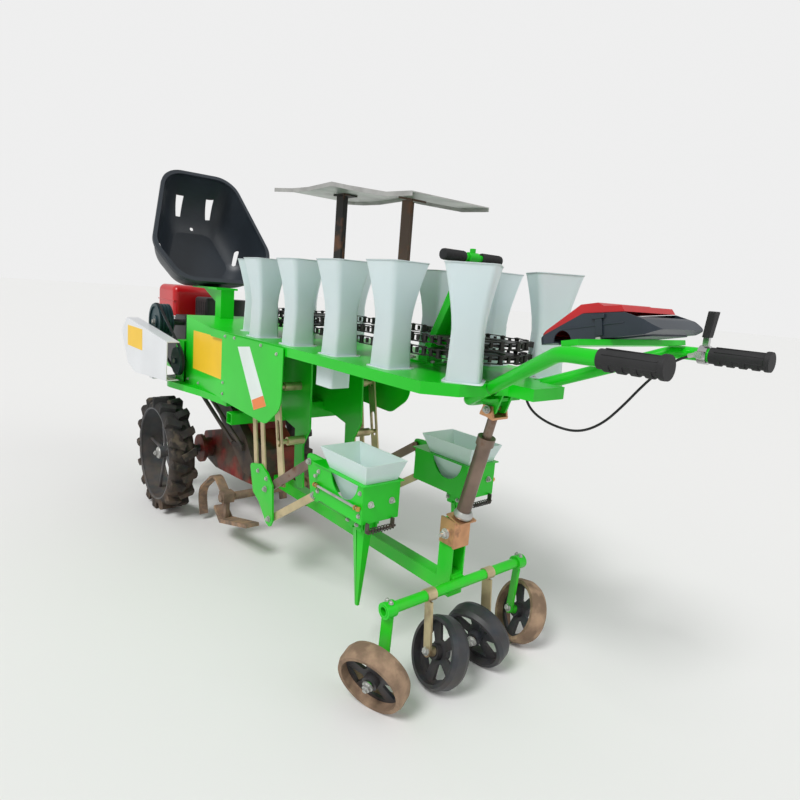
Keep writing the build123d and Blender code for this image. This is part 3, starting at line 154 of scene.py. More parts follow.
RUST = (0.16, 0.065, 0.03)
FINISHES = {
    "green_paint": surface(
        "green_paint", (0.006, 0.56, 0.010), 0.30, mottle=0.10, scale=3,
        dust=0.22, dust_top=0.40, coat=0.1, gloss=0.35,
    ),
    "light_grey_paint": surface(
        "light_grey_paint", (0.72, 0.74, 0.76), 0.35, mottle=0.04, scale=5, coat=0.2
    ),
    "red_paint": surface(
        "red_paint", (0.56, 0.006, 0.010), 0.30, mottle=0.08, scale=6, coat=0.2, gloss=0.4
    ),
    # Gearbox paint: dark red kept dark and half patched near-black as painted shade under the table, where
    # real dark hoses and a black chain case also sit; soil dust from the ground up.
    "dark_red_paint": surface(
        "dark_red_paint", (0.20, 0.010, 0.010), 0.50, mottle=0.3, scale=12, patch=(
            (0.03, 0.025, 0.022), 0.5, 8
        ),
        dust=0.35, dust_top=0.6, gloss=0.3,
    ),
    "black_paint": surface("black_paint", (0.018, 0.018, 0.020), 0.45, mottle=0.2, dust=0.35, dust_top=0.7),
    "blue_green_paint": surface("blue_green_paint", (0.022, 0.060, 0.070), 0.40, metal=0.3, mottle=0.2),
    "tyre_rubber": surface(
        "tyre_rubber", (0.026, 0.027, 0.028), 0.85, mottle=0.25, scale=30, patch=(
            (0.11, 0.09, 0.07), 0.15, 16
        ),
        dust=0.28, dust_top=0.5, grain=0.35, grain_scale=420, gloss=0.3,
    ),
    "wheel_grey": surface(
        "wheel_grey", (0.055, 0.062, 0.070), 0.5, mottle=0.2, scale=12, dust=0.22, dust_top=0.6
    ),
    "wheel_plastic": surface(
        "wheel_plastic", (0.020, 0.026, 0.034), 0.5, mottle=0.25, scale=18, dust=0.12, dust_top=0.3
    ),
    "zinc_gold": surface(
        "zinc_gold", (0.56, 0.46, 0.27), 0.36, metal=0.6, mottle=0.16, scale=16, patch=(
            (0.30, 0.21, 0.12), 0.2, 12
        ),
        dust=0.15, dust_top=0.5,
    ),
    "galvanised": surface(
        "galvanised", (0.50, 0.50, 0.48), 0.42, metal=0.6, mottle=0.16, scale=14, patch=(
            (0.30, 0.29, 0.27), 0.2, 7
        ),
        grain=0.2, grain_scale=90,
    ),
    "bare_steel": surface(
        "bare_steel", (0.23, 0.165, 0.13), 0.38, metal=0.7, mottle=0.25, scale=10, patch=(RUST, 0.3, 20),
    ),
    "rusty_steel": surface(
        "rusty_steel", (0.018, 0.016, 0.015), 0.6, mottle=0.3, scale=12, split=(0.30, (0.10, 0.062, 0.042)),
        patch=(RUST, 0.25, 14), grain=0.3,
    ),
    "milky_plastic": surface("milky_plastic", (0.66, 0.80, 0.83), 0.36, mottle=0.03, scale=5, soft=0.5),
    "seat_plastic": surface(
        "seat_plastic", (0.020, 0.027, 0.036), 0.42, mottle=0.15, scale=7, grain=0.15, grain_scale=700
    ),
    "box_plastic": surface(
        "box_plastic", (0.022, 0.032, 0.046), 0.38, mottle=0.12, grain=0.15, grain_scale=600
    ),
    "red_plastic": surface("red_plastic", (0.55, 0.012, 0.016), 0.32, mottle=0.10, scale=8),
    "black_rubber": surface("black_rubber", (0.014, 0.014, 0.015), 0.65, mottle=0.2, scale=20, grain=0.2),
    "chain_steel": surface("chain_steel", (0.045, 0.042, 0.040), 0.38, metal=0.7, mottle=0.35, scale=40),
    "soil_steel": surface(
        "soil_steel", (0.19, 0.13, 0.09), 0.75, mottle=0.3, scale=24, patch=(SOIL, 0.5, 18), grain=0.5
    ),
    "engine_black": surface("engine_black", (0.030, 0.030, 0.031), 0.5, mottle=0.2, scale=14),
    "chrome_steel": surface("chrome_steel", (0.62, 0.62, 0.62), 0.2, metal=1.0, mottle=0.05),
    # finishes of small parts
    "soil_tread": surface(
        "soil_tread", (0.30, 0.20, 0.13), 0.9, mottle=0.3, scale=26, patch=((0.20, 0.13, 0.085), 0.4, 20),
        grain=0.5
    ),
    "brass": surface("brass", (0.62, 0.36, 0.10), 0.32, metal=0.9, mottle=0.1),
    "copper_zinc": surface(
        "copper_zinc", (0.60, 0.31, 0.16), 0.3, metal=0.75, mottle=0.15, scale=20, patch=(
            (0.30, 0.16, 0.09), 0.25, 18
        ),
    ),
    "label_yellow": surface("label_yellow", (0.90, 0.56, 0.02), 0.45, mottle=0.03),
    "label_pale": surface("label_pale", (0.72, 0.80, 0.76), 0.45, mottle=0.04),
    "label_orange": surface("label_orange", (0.80, 0.22, 0.05), 0.45, mottle=0.04),
}

NODE_FINISHES = (
    ("screw_column", "bare_steel"), ("column_brackets", "copper_zinc"), ("gearbox", "dark_red_paint"),
    ("chain_case", "black_paint"), ("stays", "black_paint"), ("tines", "soil_steel"), (
        "engine_block", "engine_black"
    ),
    ("engine_cowl", "red_paint"), ("muffler", "engine_black"), ("belt_drive", "blue_green_paint"),
    ("belt_guard", "light_grey_paint"), ("cups", "milky_plastic"), ("cup_chain", "chain_steel"),
    ("sprockets", "chain_steel"), ("drop_tubes", "milky_plastic"), ("seat_shell", "seat_plastic"),
    ("tray_posts", "rusty_steel"), ("tray", "galvanised"), ("grips", "black_rubber"), (
        "clutch_lever", "chrome_steel"
    ),
    ("clutch_cable", "black_rubber"), ("tool_box_lid", "red_plastic"), ("tool_box", "box_plastic"),
    ("lift_guides", "zinc_gold"), ("inner_press_arms", "zinc_gold"), ("drive_tyre", "tyre_rubber"),
    ("drive_rim", "wheel_grey"), (
        "press_wheel_outer", "wheel_plastic"
    ), ("press_wheel_inner", "wheel_plastic"),
    ("lift_rod", "zinc_gold"), (
        "upper_link", "bare_steel"
    ), ("lower_link", "zinc_gold"), ("funnel", "milky_plastic"),
)


def finish_of(name):
    """The finish of a CAD node, by its name."""
    for start, finish in NODE_FINISHES:
        if name.startswith(start):
            return finish
    return "green_paint"


for name, node in frame["nodes"].items():
    for entry in node.material_slots:
        entry.material = FINISHES[finish_of(name)]


# Forms

def circle(centre, axis, radius, sides=20, phase=0.0):
    """Points round a centre, anticlockwise about the axis."""
    axis = Vector(axis).normalized()
    across = axis.orthogonal().normalized()
    along = axis.cross(across)
    turns = [phase + 2 * math.pi * index / sides for index in range(sides)]
    return [Vector(centre) + across * radius * math.cos(t) + along * radius * math.sin(t) for t in turns]


class Form:
    """A mesh gathered from simple solids in millimetres."""

    def __init__(self):
        self.bm = bmesh.new()

    def stack(self, rings, closed=False):
        """Skin over rings with the same number of points; the ends are capped unless it closes on itself."""
        made = [[self.bm.verts.new(Vector(p) * MM) for p in ring] for ring in rings]
        count = len(made[0])
        pairs = list(zip(made, made[1:]))
        if closed:
            pairs.append((made[-1], made[0]))
        for low, high in pairs:
            for i in range(count):
                j = (i + 1) % count
                self.bm.faces.new((low[i], low[j], high[j], high[i]))
        if not closed:
            self.bm.faces.new(list(reversed(made[0])))
            self.bm.faces.new(made[-1])
        return self

    def rod(self, start, end, radius, end_radius=None, sides=20):
        run = Vector(end) - Vector(start)
        last = radius if end_radius is None else end_radius
        return self.stack([circle(start, run, radius, sides), circle(end, run, last, sides)])

    def turned(self, centre, axis, profile, sides=28):
        """A solid of revolution; the profile lists (distance along the axis, radius)."""
        axis = Vector(axis).normalized()
        return self.stack([circle(Vector(centre) + axis * d, axis, r, sides) for d, r in profile])

    def collar(self, centre, axis, length, radius, bore, sides=28):
        """A ring round an axis, centred on a point."""
        axis = Vector(axis).normalized()
        half = length / 2
        profile = [(-half, bore), (-half, radius), (half, radius), (half, bore)]
        rings = [circle(Vector(centre) + axis * d, axis, r, sides) for d, r in profile]
        return self.stack(rings, closed=True)

    def block(self, low, high):
        (x0, y0, z0), (x1, y1, z1) = low, high
        return self.stack([[(x0, y0, z), (x1, y0, z), (x1, y1, z), (x0, y1, z)] for z in (z0, z1)])

    def slab(self, points, lift):
        """A flat outline given a thickness by a vector."""
        return self.stack([points, [Vector(p) + Vector(lift) for p in points]])

    def tube(self, points, radius, sides=14, closed=False):
        """A round bar along a line of points."""
        points = [Vector(p) for p in points]
        count = len(points)
        rings = []
        across = None
        for index, point in enumerate(points):
            before = points[index - 1] if index or closed else point
            after = points[(index + 1) % count] if index < count - 1 or closed else point
            run = (after - before).normalized()
            across = run.orthogonal() if across is None else across - run * across.dot(run)
            across.normalize()
            along = run.cross(across)
            turns = [2 * math.pi * k / sides for k in range(sides)]
            rings.append([point + (across * math.cos(t) + along * math.sin(t)) * radius for t in turns])
        return self.stack(rings, closed=closed)

    def bolt(self, place, axis, size, stud=0.0):
        """Washer and chamfered hexagon head; stud is how far a thread stands out of it."""
        axis = Vector(axis).normalized()
        place = Vector(place)
        base = place + axis * size * 0.22
        self.rod(place - axis * 0.6, base, size * 1.3)
        top = base + axis * size * 0.72
        chamfer = circle(top + axis * size * 0.16, axis, size * 0.8, 6)
        self.stack([circle(base, axis, size, 6), circle(top, axis, size, 6), chamfer])
        if stud:
            self.rod(top, top + axis * stud, size * 0.52, sides=12)
        return self

    def piece(self, name, finish, body="frame", bevel=0.0, slot=None):
        """Make the object, give it its finish and let it ride on its body; slot is not used."""
        bmesh.ops.recalc_face_normals(self.bm, faces=self.bm.faces)
        for face in self.bm.faces:
            face.smooth = True
        for edge in self.bm.edges:
            edge.smooth = len(edge.link_faces) == 2 and edge.calc_face_angle(0.0) < SHARP
        mesh = bpy.data.meshes.new(name)
        self.bm.to_mesh(mesh)
        self.bm.free()
        mesh.materials.append(FINISHES[finish])
        made = bpy.data.objects.new(name, mesh)
        bpy.context.scene.collection.objects.link(made)
        if bevel:
            rounding = made.modifiers.new("edges", "BEVEL")
            rounding.width = bevel * MM
            rounding.segments = 2
            rounding.angle_limit = SHARP
        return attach(made, body)


# Drive wheels

AXLE = Vector(JOINTS["drive_wheel_near_spin"]["pos_m"]) / MM
WHEEL_Y = 271
HUB_HALF = 30
HUB_BOLT_RING = 19
BEAD_OFFSET = 46

for name, side in SIDES:
    hub_face = side * (WHEEL_Y + HUB_HALF)
    hub = Form()
    hub.turned((AXLE.x, hub_face - side, AXLE.z), (0, side, 0), [(0, 26), (5, 24), (7, 16)], 24)
    hub.bolt((AXLE.x, hub_face + side * 5, AXLE.z), (0, side, 0), 11, stud=5)
    for index in range(5):
        turn = math.radians(40 + index * 72)
        x = AXLE.x + HUB_BOLT_RING * math.cos(turn)
        z = AXLE.z + HUB_BOLT_RING * math.sin(turn)
        hub.bolt((x, hub_face + side * 2, z), (0, side, 0), 4)
    hub.piece(f"hub_cap_{name}", "galvanised", f"drive_wheel_{name}")
    beads = Form()
    for y in (side * WHEEL_Y - BEAD_OFFSET, side * WHEEL_Y + BEAD_OFFSET):
        beads.collar((AXLE.x, y, AXLE.z), (0, 1, 0), 6, 203, 190, 64)
    beads.piece(f"rim_beads_{name}", "wheel_grey", f"drive_wheel_{name}", bevel=1.5)


# Press wheels

# Distances from a wheel's middle along its axle
PRESS_HUB_END = 26
PRESS_ARM_FACE = 43.8
# Profile of the soil on a tread: distance along the axle, radius
TREAD = ((-26.5, 76.6), (-26.5, 86.4), (-14, 91.8), (14, 91.8), (26.5, 86.4), (26.5, 76.6))

for kind in ("outer", "inner"):
    for name, side in SIDES:
        joint = JOINTS[f"press_wheel_{kind}_{name}_spin"]
        hub = Vector(joint["pos_m"]) / MM
        towards = Vector(joint["axis"]).normalized()
        nut = Form()
        nut.bolt(hub - towards * PRESS_HUB_END, -towards, 11, stud=6)
        nut.bolt(hub + towards * PRESS_ARM_FACE, towards, 9)
        nut.piece(f"press_nuts_{kind}_{name}", "galvanised")
        if kind == "outer":
            tread = Form()
            tread.stack([circle(hub + towards * d, towards, r, 64) for d, r in TREAD], closed=True)
            tread.piece(
                f"press_tread_{name}", "soil_tread", f"press_wheel_{kind}_{name}", slot="wheel_plastic"
            )


# Rear frame and screw column

bar_low, bar_high = node_box("cross_bar")
bar_x = (bar_low.x + bar_high.x) / 2
bar_z = (bar_low.z + bar_high.z) / 2
SLEEVE_Y = 242
SLEEVE_RADIUS = 19
POST_BOLT_X = 728
POST_BOLT_Z = 386
HEAD_PIN_X = 826
HEAD_PIN_Z = 741

clamps = Form()
for name, side in SIDES:
    for offset in (-7, 7):
        clamps.bolt((bar_x + offset, side * SLEEVE_Y, bar_z + SLEEVE_RADIUS), (0, 0, 1), 5, stud=3)
clamps.piece("clamp_bolts", "galvanised")

column = Form()
column.bolt((POST_BOLT_X, -31.5, POST_BOLT_Z), (0, -1, 0), 11, stud=12)
column.bolt((POST_BOLT_X, 25, POST_BOLT_Z), (0, 1, 0), 10)
column.turned((752, 0, 432), (70, 0, 280), [(6, 24), (12, 26), (18, 24), (24, 20)], 32)
column.bolt((HEAD_PIN_X, -32, HEAD_PIN_Z), (0, -1, 0), 8, stud=4)
column.bolt((HEAD_PIN_X, 32, HEAD_PIN_Z), (0, 1, 0), 8)
column.piece("column_bolts", "galvanised")


# Fenders, cover and labels

FENDER_FACE = 255
COVER_FACE = 238
GUARD_FACE = 345

bolts = Form()
for name, side in SIDES:
    for x, z in ((-196, 805), (-120, 807), (76, 806), (180, 792), (-206, 640), (-206, 600)):
        bolts.bolt((x, side * FENDER_FACE, z), (0, side, 0), 4.5)
    for x in (-590, -480, -250):
        bolts.bolt((x, side * COVER_FACE, 590), (0, side, 0), 5)
bolts.piece("sheet_bolts", "galvanised")


def label(name, finish, corners, y, slot):
    """A thin blank sticker on a sheet that faces the near side."""
    points = [(x, y, z) for x, z in corners]
    Form().slab(points, (0, -0.5, 0)).piece(name, finish, slot=slot)


GUARD_LABEL = [(-1059, 673), (-842, 673), (-842, 763), (-1059, 763)]
COVER_LABEL = [(-541, 640), (-254, 640), (-254, 791), (-541, 791)]
STRIP = [(-93, 781), (-4, 792), (126, 622), (42, 592)]
STRIP_FOOT = [(26, 622), (104, 651), (126, 622), (42, 592)]
fender_face = node_box("fenders")[0].y
label("guard_label", "label_yellow", GUARD_LABEL, -GUARD_FACE, "light_grey_paint")
label("cover_label", "label_yellow", COVER_LABEL, -COVER_FACE, "green_paint")
label("fender_strip", "label_pale", STRIP, fender_face, "green_paint")
label("fender_strip_foot", "label_orange", STRIP_FOOT, fender_face - 0.3, "green_paint")


# Belts

def loop_round(first, first_radius, second, second_radius, steps=28):
    """Points of a belt round two circles in the XZ plane, as (x, z)."""
    run = Vector(second) - Vector(first)
    heading = math.atan2(run.y, run.x)
    lean = math.acos((first_radius - second_radius) / run.length)
    points = []
    for centre, radius, start, end in (
        (first, first_radius, heading + lean, heading + 2 * math.pi - lean),
        (second, second_radius, heading - lean, heading + lean),
    ):
        for index in range(steps + 1):
            turn = start + (end - start) * index / steps
            points.append((centre[0] + radius * math.cos(turn), centre[1] + radius * math.sin(turn)))
    return points


ENGINE_PULLEY = (-930, 790)
COUNTER_PULLEY = (-650, 655)
ENGINE_RADIUS = 80
COUNTER_RADIUS = 56
BELT_RISE = 3.5

belts = Form()
outer = loop_round(ENGINE_PULLEY, ENGINE_RADIUS + BELT_RISE, COUNTER_PULLEY, COUNTER_RADIUS + BELT_RISE)
inner = loop_round(ENGINE_PULLEY, ENGINE_RADIUS - 6.5, COUNTER_PULLEY, COUNTER_RADIUS - 0.5)
rings = []
for (xo, zo), (xi, zi) in zip(outer, inner):
    rings.append([(xo, -254.6, zo), (xo, -264.4, zo), (xi, -263.4, zi), (xi, -255.6, zi)])
belts.stack(rings, closed=True)
belts.piece("drive_belt", "black_rubber")
pulley = Form()
pulley.bolt((ENGINE_PULLEY[0], -268, ENGINE_PULLEY[1]), (0, -1, 0), 11)
pulley.bolt((COUNTER_PULLEY[0], -270, COUNTER_PULLEY[1]), (0, -1, 0), 9)
pulley.piece("pulley_bolts", "galvanised")


# Engine

tank_low, tank_high = node_box("engine_cowl")
CAP_X = -1226
CAP_Y = 30
CAP_FOOT = 951
CAP_RADIUS = 31
STARTER_Y = -8
STARTER_Z = 670

cap = Form()
cap.turned((CAP_X, CAP_Y, CAP_FOOT), (0, 0, 1), [(0, CAP_RADIUS), (14, CAP_RADIUS), (21, 27), (22, 10)], 36)
for index in range(12):
    turn = math.radians(index * 30)
    x = CAP_X + CAP_RADIUS * math.cos(turn)
    y = CAP_Y + CAP_RADIUS * math.sin(turn)
    cap.rod((x, y, CAP_FOOT), (x, y, CAP_FOOT + 13), 2.2, sides=8)
cap.piece("tank_cap", "black_rubber", slot="engine_black")
seam = Form()
seam.block((tank_low.x + 4, tank_low.y - 2, 876), (tank_high.x - 4, tank_high.y + 2, 880))
seam.piece("tank_seam", "red_paint", bevel=1)
grille = Form()
for radius in (72, 56, 40, 24):
    grille.collar((-1328, STARTER_Y, STARTER_Z), (1, 0, 0), 4, radius, radius - 6, 40)
grille.turned((-1331, STARTER_Y, STARTER_Z), (1, 0, 0), [(0, 8), (4, 12)], 24)
grille.piece("starter_grille", "engine_black", bevel=0.8)
# Dark strips on the muffler where its slots are: painted shade in the openings, not a part.
slot_shade_strips = Form()
for index in range(6):
    x = -1050 + index * 22
    slot_shade_strips.block((x, -40.8, 826), (x + 8, -38, 886))
slot_shade_strips.piece("muffler_slot_shade", "black_rubber", slot="engine_black")


# Cups and chain

TABLE_TOP = 818
RING = (-115.5, 740)
CHAIN_RADIUS = 126
CHAIN_HEIGHTS = (866, 898)
CHAIN_LINKS = 48
CHAIN_PLATE = 2
ROLLER_HALF = 6.8
PIN_HALF = 12
CUP_COUNT = 12
CUP_RADIUS = 181
CUP_PITCH = 228
CUP_LEAD = 116
CUP_HEIGHT = 258
CUP_WALL = 2.5
CUP_WAIST = 70
WAIST_SHARE = 0.45


def ring_point(travel, radius, pitch_radius):
    """Point and heading in degrees on the carousel's oval, as the chain runs."""
    straight = RING[1] - RING[0]
    turn = math.pi * pitch_radius
    travel = travel % (2 * (straight + turn))
    if travel < turn:
        angle = travel / pitch_radius
        return RING[1] + radius * math.sin(angle), -radius * math.cos(angle), math.degrees(angle)
    if travel < turn + straight:
        return RING[1] - (travel - turn), radius, 180
    if travel < 2 * turn + straight:
        angle = (travel - turn - straight) / pitch_radius
        return RING[0] - radius * math.sin(angle), radius * math.cos(angle), 180 + math.degrees(angle)
    return RING[0] + (travel - 2 * turn - straight), -radius, 0


def link_plate(start, end, z, thick, end_radius, waist):
    """A chain plate: two round ends and a narrow middle."""
    run = (end - start).normalized()
    side = Vector((-run.y, run.x, 0))
    points = []
    for centre, way in ((end, 1), (start, -1)):
        for index in range(7):
            turn = math.radians(-75 + 25 * index)
            points.append(centre + (run * math.cos(turn) + side * math.sin(turn)) * end_radius * way)
        points.append((start + end) / 2 + side * waist * way)
    return [Vector((p.x, p.y, z)) for p in points], Vector((0, 0, thick))


def cup_chain():
    chain = Form()
    loop = 2 * (RING[1] - RING[0]) + 2 * math.pi * CHAIN_RADIUS
    pitch = loop / CHAIN_LINKS
    joints = []
    for index in range(CHAIN_LINKS):
        x, y, _ = ring_point(index * pitch, CHAIN_RADIUS, CHAIN_RADIUS)
        joints.append(Vector((x, y, 0)))
    for height in CHAIN_HEIGHTS:
        for index, start in enumerate(joints):
            end = joints[(index + 1) % CHAIN_LINKS]
            lift = 9.0 if index % 2 == 0 else ROLLER_HALF
            for way in (-1, 1):
                z = height + way * lift - (CHAIN_PLATE if way < 0 else 0)
                points, thick = link_plate(start, end, z, CHAIN_PLATE, 7.5, 5)
                chain.slab(points, thick)
            base = Vector((start.x, start.y, height))
            pin = Vector((0, 0, PIN_HALF))
            roller = Vector((0, 0, ROLLER_HALF))
            chain.rod(base - pin, base + pin, 3, sides=10)
            chain.rod(base - roller, base + roller, 6, sides=14)
            x, y, _ = (start + end) / 2
            chain.rod((x, y, height - ROLLER_HALF), (x, y, height + ROLLER_HALF), 4.5, sides=10)
    made = chain.piece("roller_chains", "chain_steel")
    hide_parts("cup_chain")


cup_chain()


def rounded_square(width, corner, z, steps=4):
    """Points of a square with round corners, anticlockwise, about the origin."""
    points = []
    reach = width / 2 - corner
    for quarter in range(4):
        cx = reach * (1 if quarter in (0, 3) else -1)
        cy = reach * (1 if quarter in (0, 1) else -1)
        for index in range(steps + 1):
            turn = math.radians(quarter * 90 + index * 90 / steps)
            points.append(Vector((cx + corner * math.cos(turn), cy + corner * math.sin(turn), z)))
    return points


def cup_width(share):
    """Width of a cup at a share of its height: a slight foot, a waist, and a mouth that flares in a curve."""
    if share < WAIST_SHARE:
        return CUP_WAIST + 6 * ((WAIST_SHARE - share) / WAIST_SHARE) ** 1.2
    return CUP_WAIST + 48 * ((share - WAIST_SHARE) / 0.55) ** 1.35


def cup_skin(inset, low, steps=9):
    """Rings of a cup's wall from its foot to its mouth."""
    rings = []
    for index in range(steps + 1):
        share = index / steps
        height = low + (CUP_HEIGHT - low) * share
        rings.append(rounded_square(cup_width(share) - 2 * inset, 9 + 7 * share - inset, height))
    return rings


cups = Form()
arms = Form()
screws = Form()
for index in range(CUP_COUNT):
    x, y, heading = ring_point(CUP_LEAD - index * CUP_PITCH, CUP_RADIUS, CUP_RADIUS)
    place = Matrix.Translation((x, y, TABLE_TOP)) @ Matrix.Rotation(math.radians(heading), 4, "Z")
    shell = cup_skin(0, 2.8) + list(reversed(cup_skin(CUP_WALL, 2.8)))
    cups.stack([[place @ p for p in ring] for ring in shell], closed=True)
    steps = ((92, 14, 0), (92, 14, 3), (71, 7, 3), (71, 7, 0))
    flange = [rounded_square(width, corner, z) for width, corner, z in steps]
    cups.stack([[place @ p for p in ring] for ring in flange], closed=True)
    cups.tube([place @ p for p in rounded_square(117, 15.5, 257)], 1.8, sides=8, closed=True)
    for height in CHAIN_HEIGHTS:
        z = height - TABLE_TOP
        corners = [(-11, 31), (11, 31), (11, 46.8), (-11, 46.8)]
        arms.stack([[place @ Vector((u, v, z + lift)) for u, v in corners] for lift in (-7, 7)])
    for side in (-1, 1):
        screws.turned(place @ Vector((side * 40, 34, 3)), (0, 0, 1), [(-0.5, 4.2), (1.2, 4), (2.4, 2)], 12)
made = cups.piece("flared_cups", "milky_plastic")
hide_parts("cups")
arms.piece("cup_arms", "chain_steel", slot="milky_plastic")
screws.piece("cup_screws", "galvanised")


# Tray, lever and posts

feet = Form()
for x in (116, 450):
    for dx in (-28, 28):
        for y in (-22, 22):
            feet.bolt((x + dx, y, TABLE_TOP + 5), (0, 0, 1), 5)
for dx in (-40, 48):
    for y in (-24, 24):
        feet.bolt((566 + dx, y, TABLE_TOP + 6), (0, 0, 1), 5)
feet.piece("foot_bolts", "galvanised")
LEVER_HEAD = (700, 0, 1102)
head = Form()
head.collar(LEVER_HEAD, (0, 1, 0), 34, 12.5, 7.5)
head.block((694, -5, 1112), (706, 5, 1124))
head.piece("lever_collar", "green_paint", bevel=1)
ridges = Form()
for side in (-1, 1):
    for index in range(13):
        ridges.collar((LEVER_HEAD[0], side * (36 + index * 5), LEVER_HEAD[2]), (0, 1, 0), 2.2, 14, 12.5, 24)
ridges.piece("lever_grip_ridges", "black_rubber", bevel=0.5)


# Handlebar

BAR_Y = 214
BAR_Z = 923
RIB_COUNT = 7
RIB_START = 1226
RIB_LENGTH = 94

fingers = Form()
for side in (-1, 1):
    fingers.turned((1321, side * BAR_Y, BAR_Z), (1, 0, 0), [(0, 19), (2, 21), (8, 21), (11, 18)], 32)
    for index in range(RIB_COUNT):
        turn = math.radians(index * 360 / RIB_COUNT)
        rise = Vector((0, math.cos(turn), math.sin(turn))) * 17.3
        start = Vector((RIB_START, side * BAR_Y, BAR_Z)) + rise
        fingers.rod(start, start + Vector((RIB_LENGTH, 0, 0)), 1.1, sides=8)
fingers.piece("grip_ribs", "black_rubber", bevel=0.6)
lever = Form()
lever.slab([(1195.5, 203, 958), (1210.5, 203, 958), (1217.5, 203, 1014), (1200.5, 203, 1014)], (0, 22, 0))
lever.piece("lever_sleeve", "black_rubber", bevel=2)
fixing = Form()
fixing.bolt((1203, 198, 921), (0, -1, 0), 5)
fixing.bolt((1203, 214, 966), (0, 0, 1), 4)
for side in (-1, 1):
    fixing.bolt((842, side * 21, 790), (0, side, 0), 7)
fixing.piece("handle_bolts", "galvanised")


# Clutch cable

CABLE = (
    (882, 24, 815), (887, 30, 776), (908, 43, 742), (950, 66, 720), (1000, 94, 713), (1038, 126, 738),
    (1066, 156, 784), (1096, 178, 838), (1134, 188, 886), (1166, 190, 910), (1194, 190, 921),
)


def clutch_cable():
    curve = bpy.data.curves.new("clutch_cable_sleeve", "CURVE")
    curve.dimensions = "3D"
    line = curve.splines.new("NURBS")
    line.points.add(len(CABLE) - 1)
    for point, place in zip(line.points, CABLE):
        point.co = (*(Vector(place) * MM), 1)
    line.order_u = 3
    line.use_endpoint_u = True
    line.resolution_u = 8
    curve.bevel_depth = 3 * MM
    curve.bevel_resolution = 3
    curve.use_fill_caps = True
    curve.materials.append(FINISHES["black_rubber"])
    made = bpy.data.objects.new("clutch_cable_sleeve", curve)
    bpy.context.scene.collection.objects.link(made)
    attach(made, "frame")
    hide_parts("clutch_cable")


clutch_cable()
stop = Form()
stop.rod((1180, 190, 916), (1196, 190, 921.5), 5, sides=16)
stop.rod((882, 24, 806), (882, 24, 816), 6, sides=16)
stop.piece("cable_stops", "galvanised")


# Tool box

angle = math.radians(11.5)
SLOPE = Matrix.Translation((1000, 0, 915)) @ Matrix.Rotation(-angle, 4, "Y")
latch = Form()
for side in (-1, 1):
    latch.bolt(SLOPE @ Vector((149, side * 112, 0)), SLOPE.to_3x3() @ Vector((0, 0, 1)), 5)
latch.piece("strap_bolts", "galvanised")
# Low and high corners of the latch's tongue, its head and the seam, in the box's own frame
CLIP_BLOCKS = (
    ((140, -106, 8), (154, -101, 46)), ((134, -107, 40), (160, -101, 48)), (
        (60, -103.5, 27), (196, -101.5, 30)
    ),
)
clip = Form()
for (x0, y0, z0), (x1, y1, z1) in CLIP_BLOCKS:
    rings = [((x0, y0, z), (x1, y0, z), (x1, y1, z), (x0, y1, z)) for z in (z0, z1)]
    clip.stack([[SLOPE @ Vector(p) for p in ring] for ring in rings])
clip.piece("box_latch", "box_plastic", bevel=1)


# Planters

PIVOTS = {"upper": (62, 325), "lower": (94, 232)}
LINK_LENGTH = 316
LINK_ANGLE = math.radians(32.6)
LINK_NUT_Y = 213
BOX_FACE = 246
BOX_FRONT = 412
ROW_Y = 186
SPRING_X = 648
SPRING_Z = 402
ROD_Z = 462

for name, side in SIDES:
    for kind, (x, z) in PIVOTS.items():
        ends = Form()
        tip_x = x + LINK_LENGTH * math.cos(LINK_ANGLE)
        tip_z = z + LINK_LENGTH * math.sin(LINK_ANGLE)
        ends.bolt((x, side * LINK_NUT_Y, z), (0, side, 0), 8, stud=3)
        ends.bolt((tip_x, side * LINK_NUT_Y, tip_z), (0, side, 0), 8, stud=3)
        ends.piece(f"{kind}_link_nuts_{name}", "galvanised", f"{kind}_link_{name}")
    plate = Form()
    for x, z in ((6, 372), (66, 362)):
        plate.bolt((x, side * 212, z), (0, side, 0), 6)
    plate.piece(f"bracket_bolts_{name}", "galvanised")
    box = Form()
    y = side * BOX_FACE
    box.rod((424, y - side * 2, 486), (424, y + side * 8, 486), 5)
    for x, z in ((BOX_FRONT + 22, 500), (BOX_FRONT + 22, 444), (628, 500), (628, 440)):
        box.bolt((x, y, z), (0, side, 0), 5)
    for dy in (-34, 34):
        box.bolt((640, side * ROW_Y + dy, 470), (1, 0, 0), 7, stud=5)
    for x in (548, 588):
        box.bolt((x, side * 220, 398), (0, side, 0), 5, stud=2)
        box.bolt((x, side * 152, 398), (0, -side, 0), 5, stud=2)
    box.piece(f"planter_bolts_{name}", "galvanised", f"planter_head_{name}")
    spring = Form()
    spring.rod((SPRING_X, side * 140, SPRING_Z), (SPRING_X, side * 236, SPRING_Z), 3)
    turns = [index * math.pi / 6 for index in range(97)]
    coil = []
    for turn in turns:
        along = side * (150 + 76 * turn / turns[-1])
        coil.append((SPRING_X + 7 * math.cos(turn), along, SPRING_Z + 7 * math.sin(turn)))
    spring.tube(coil, 1.6, sides=6)
    for dy in (148, 230):
        low_y, high_y = sorted((side * (dy - 1.5), side * (dy + 1.5)))
        spring.block((638, low_y, 396), (652, high_y, 424))
    spring.piece(f"closing_spring_{name}", "black_paint", f"planter_head_{name}")
    rod = Form()
    rod_y = y + side * 7
    rod.rod((420, rod_y, ROD_Z), (632, rod_y, ROD_Z), 3.5)
    rod.piece(f"planter_rod_{name}", "galvanised", f"planter_head_{name}")
    nuts = Form()
    for x in (424, 436, 618, 630):
        nuts.stack([circle((end, rod_y, ROD_Z), (1, 0, 0), 7, 6) for end in (x, x + 5)])
    nuts.piece(f"planter_rod_nuts_{name}", "brass", f"planter_head_{name}", slot="zinc_gold")


# Stage, light and camera

scene = bpy.context.scene


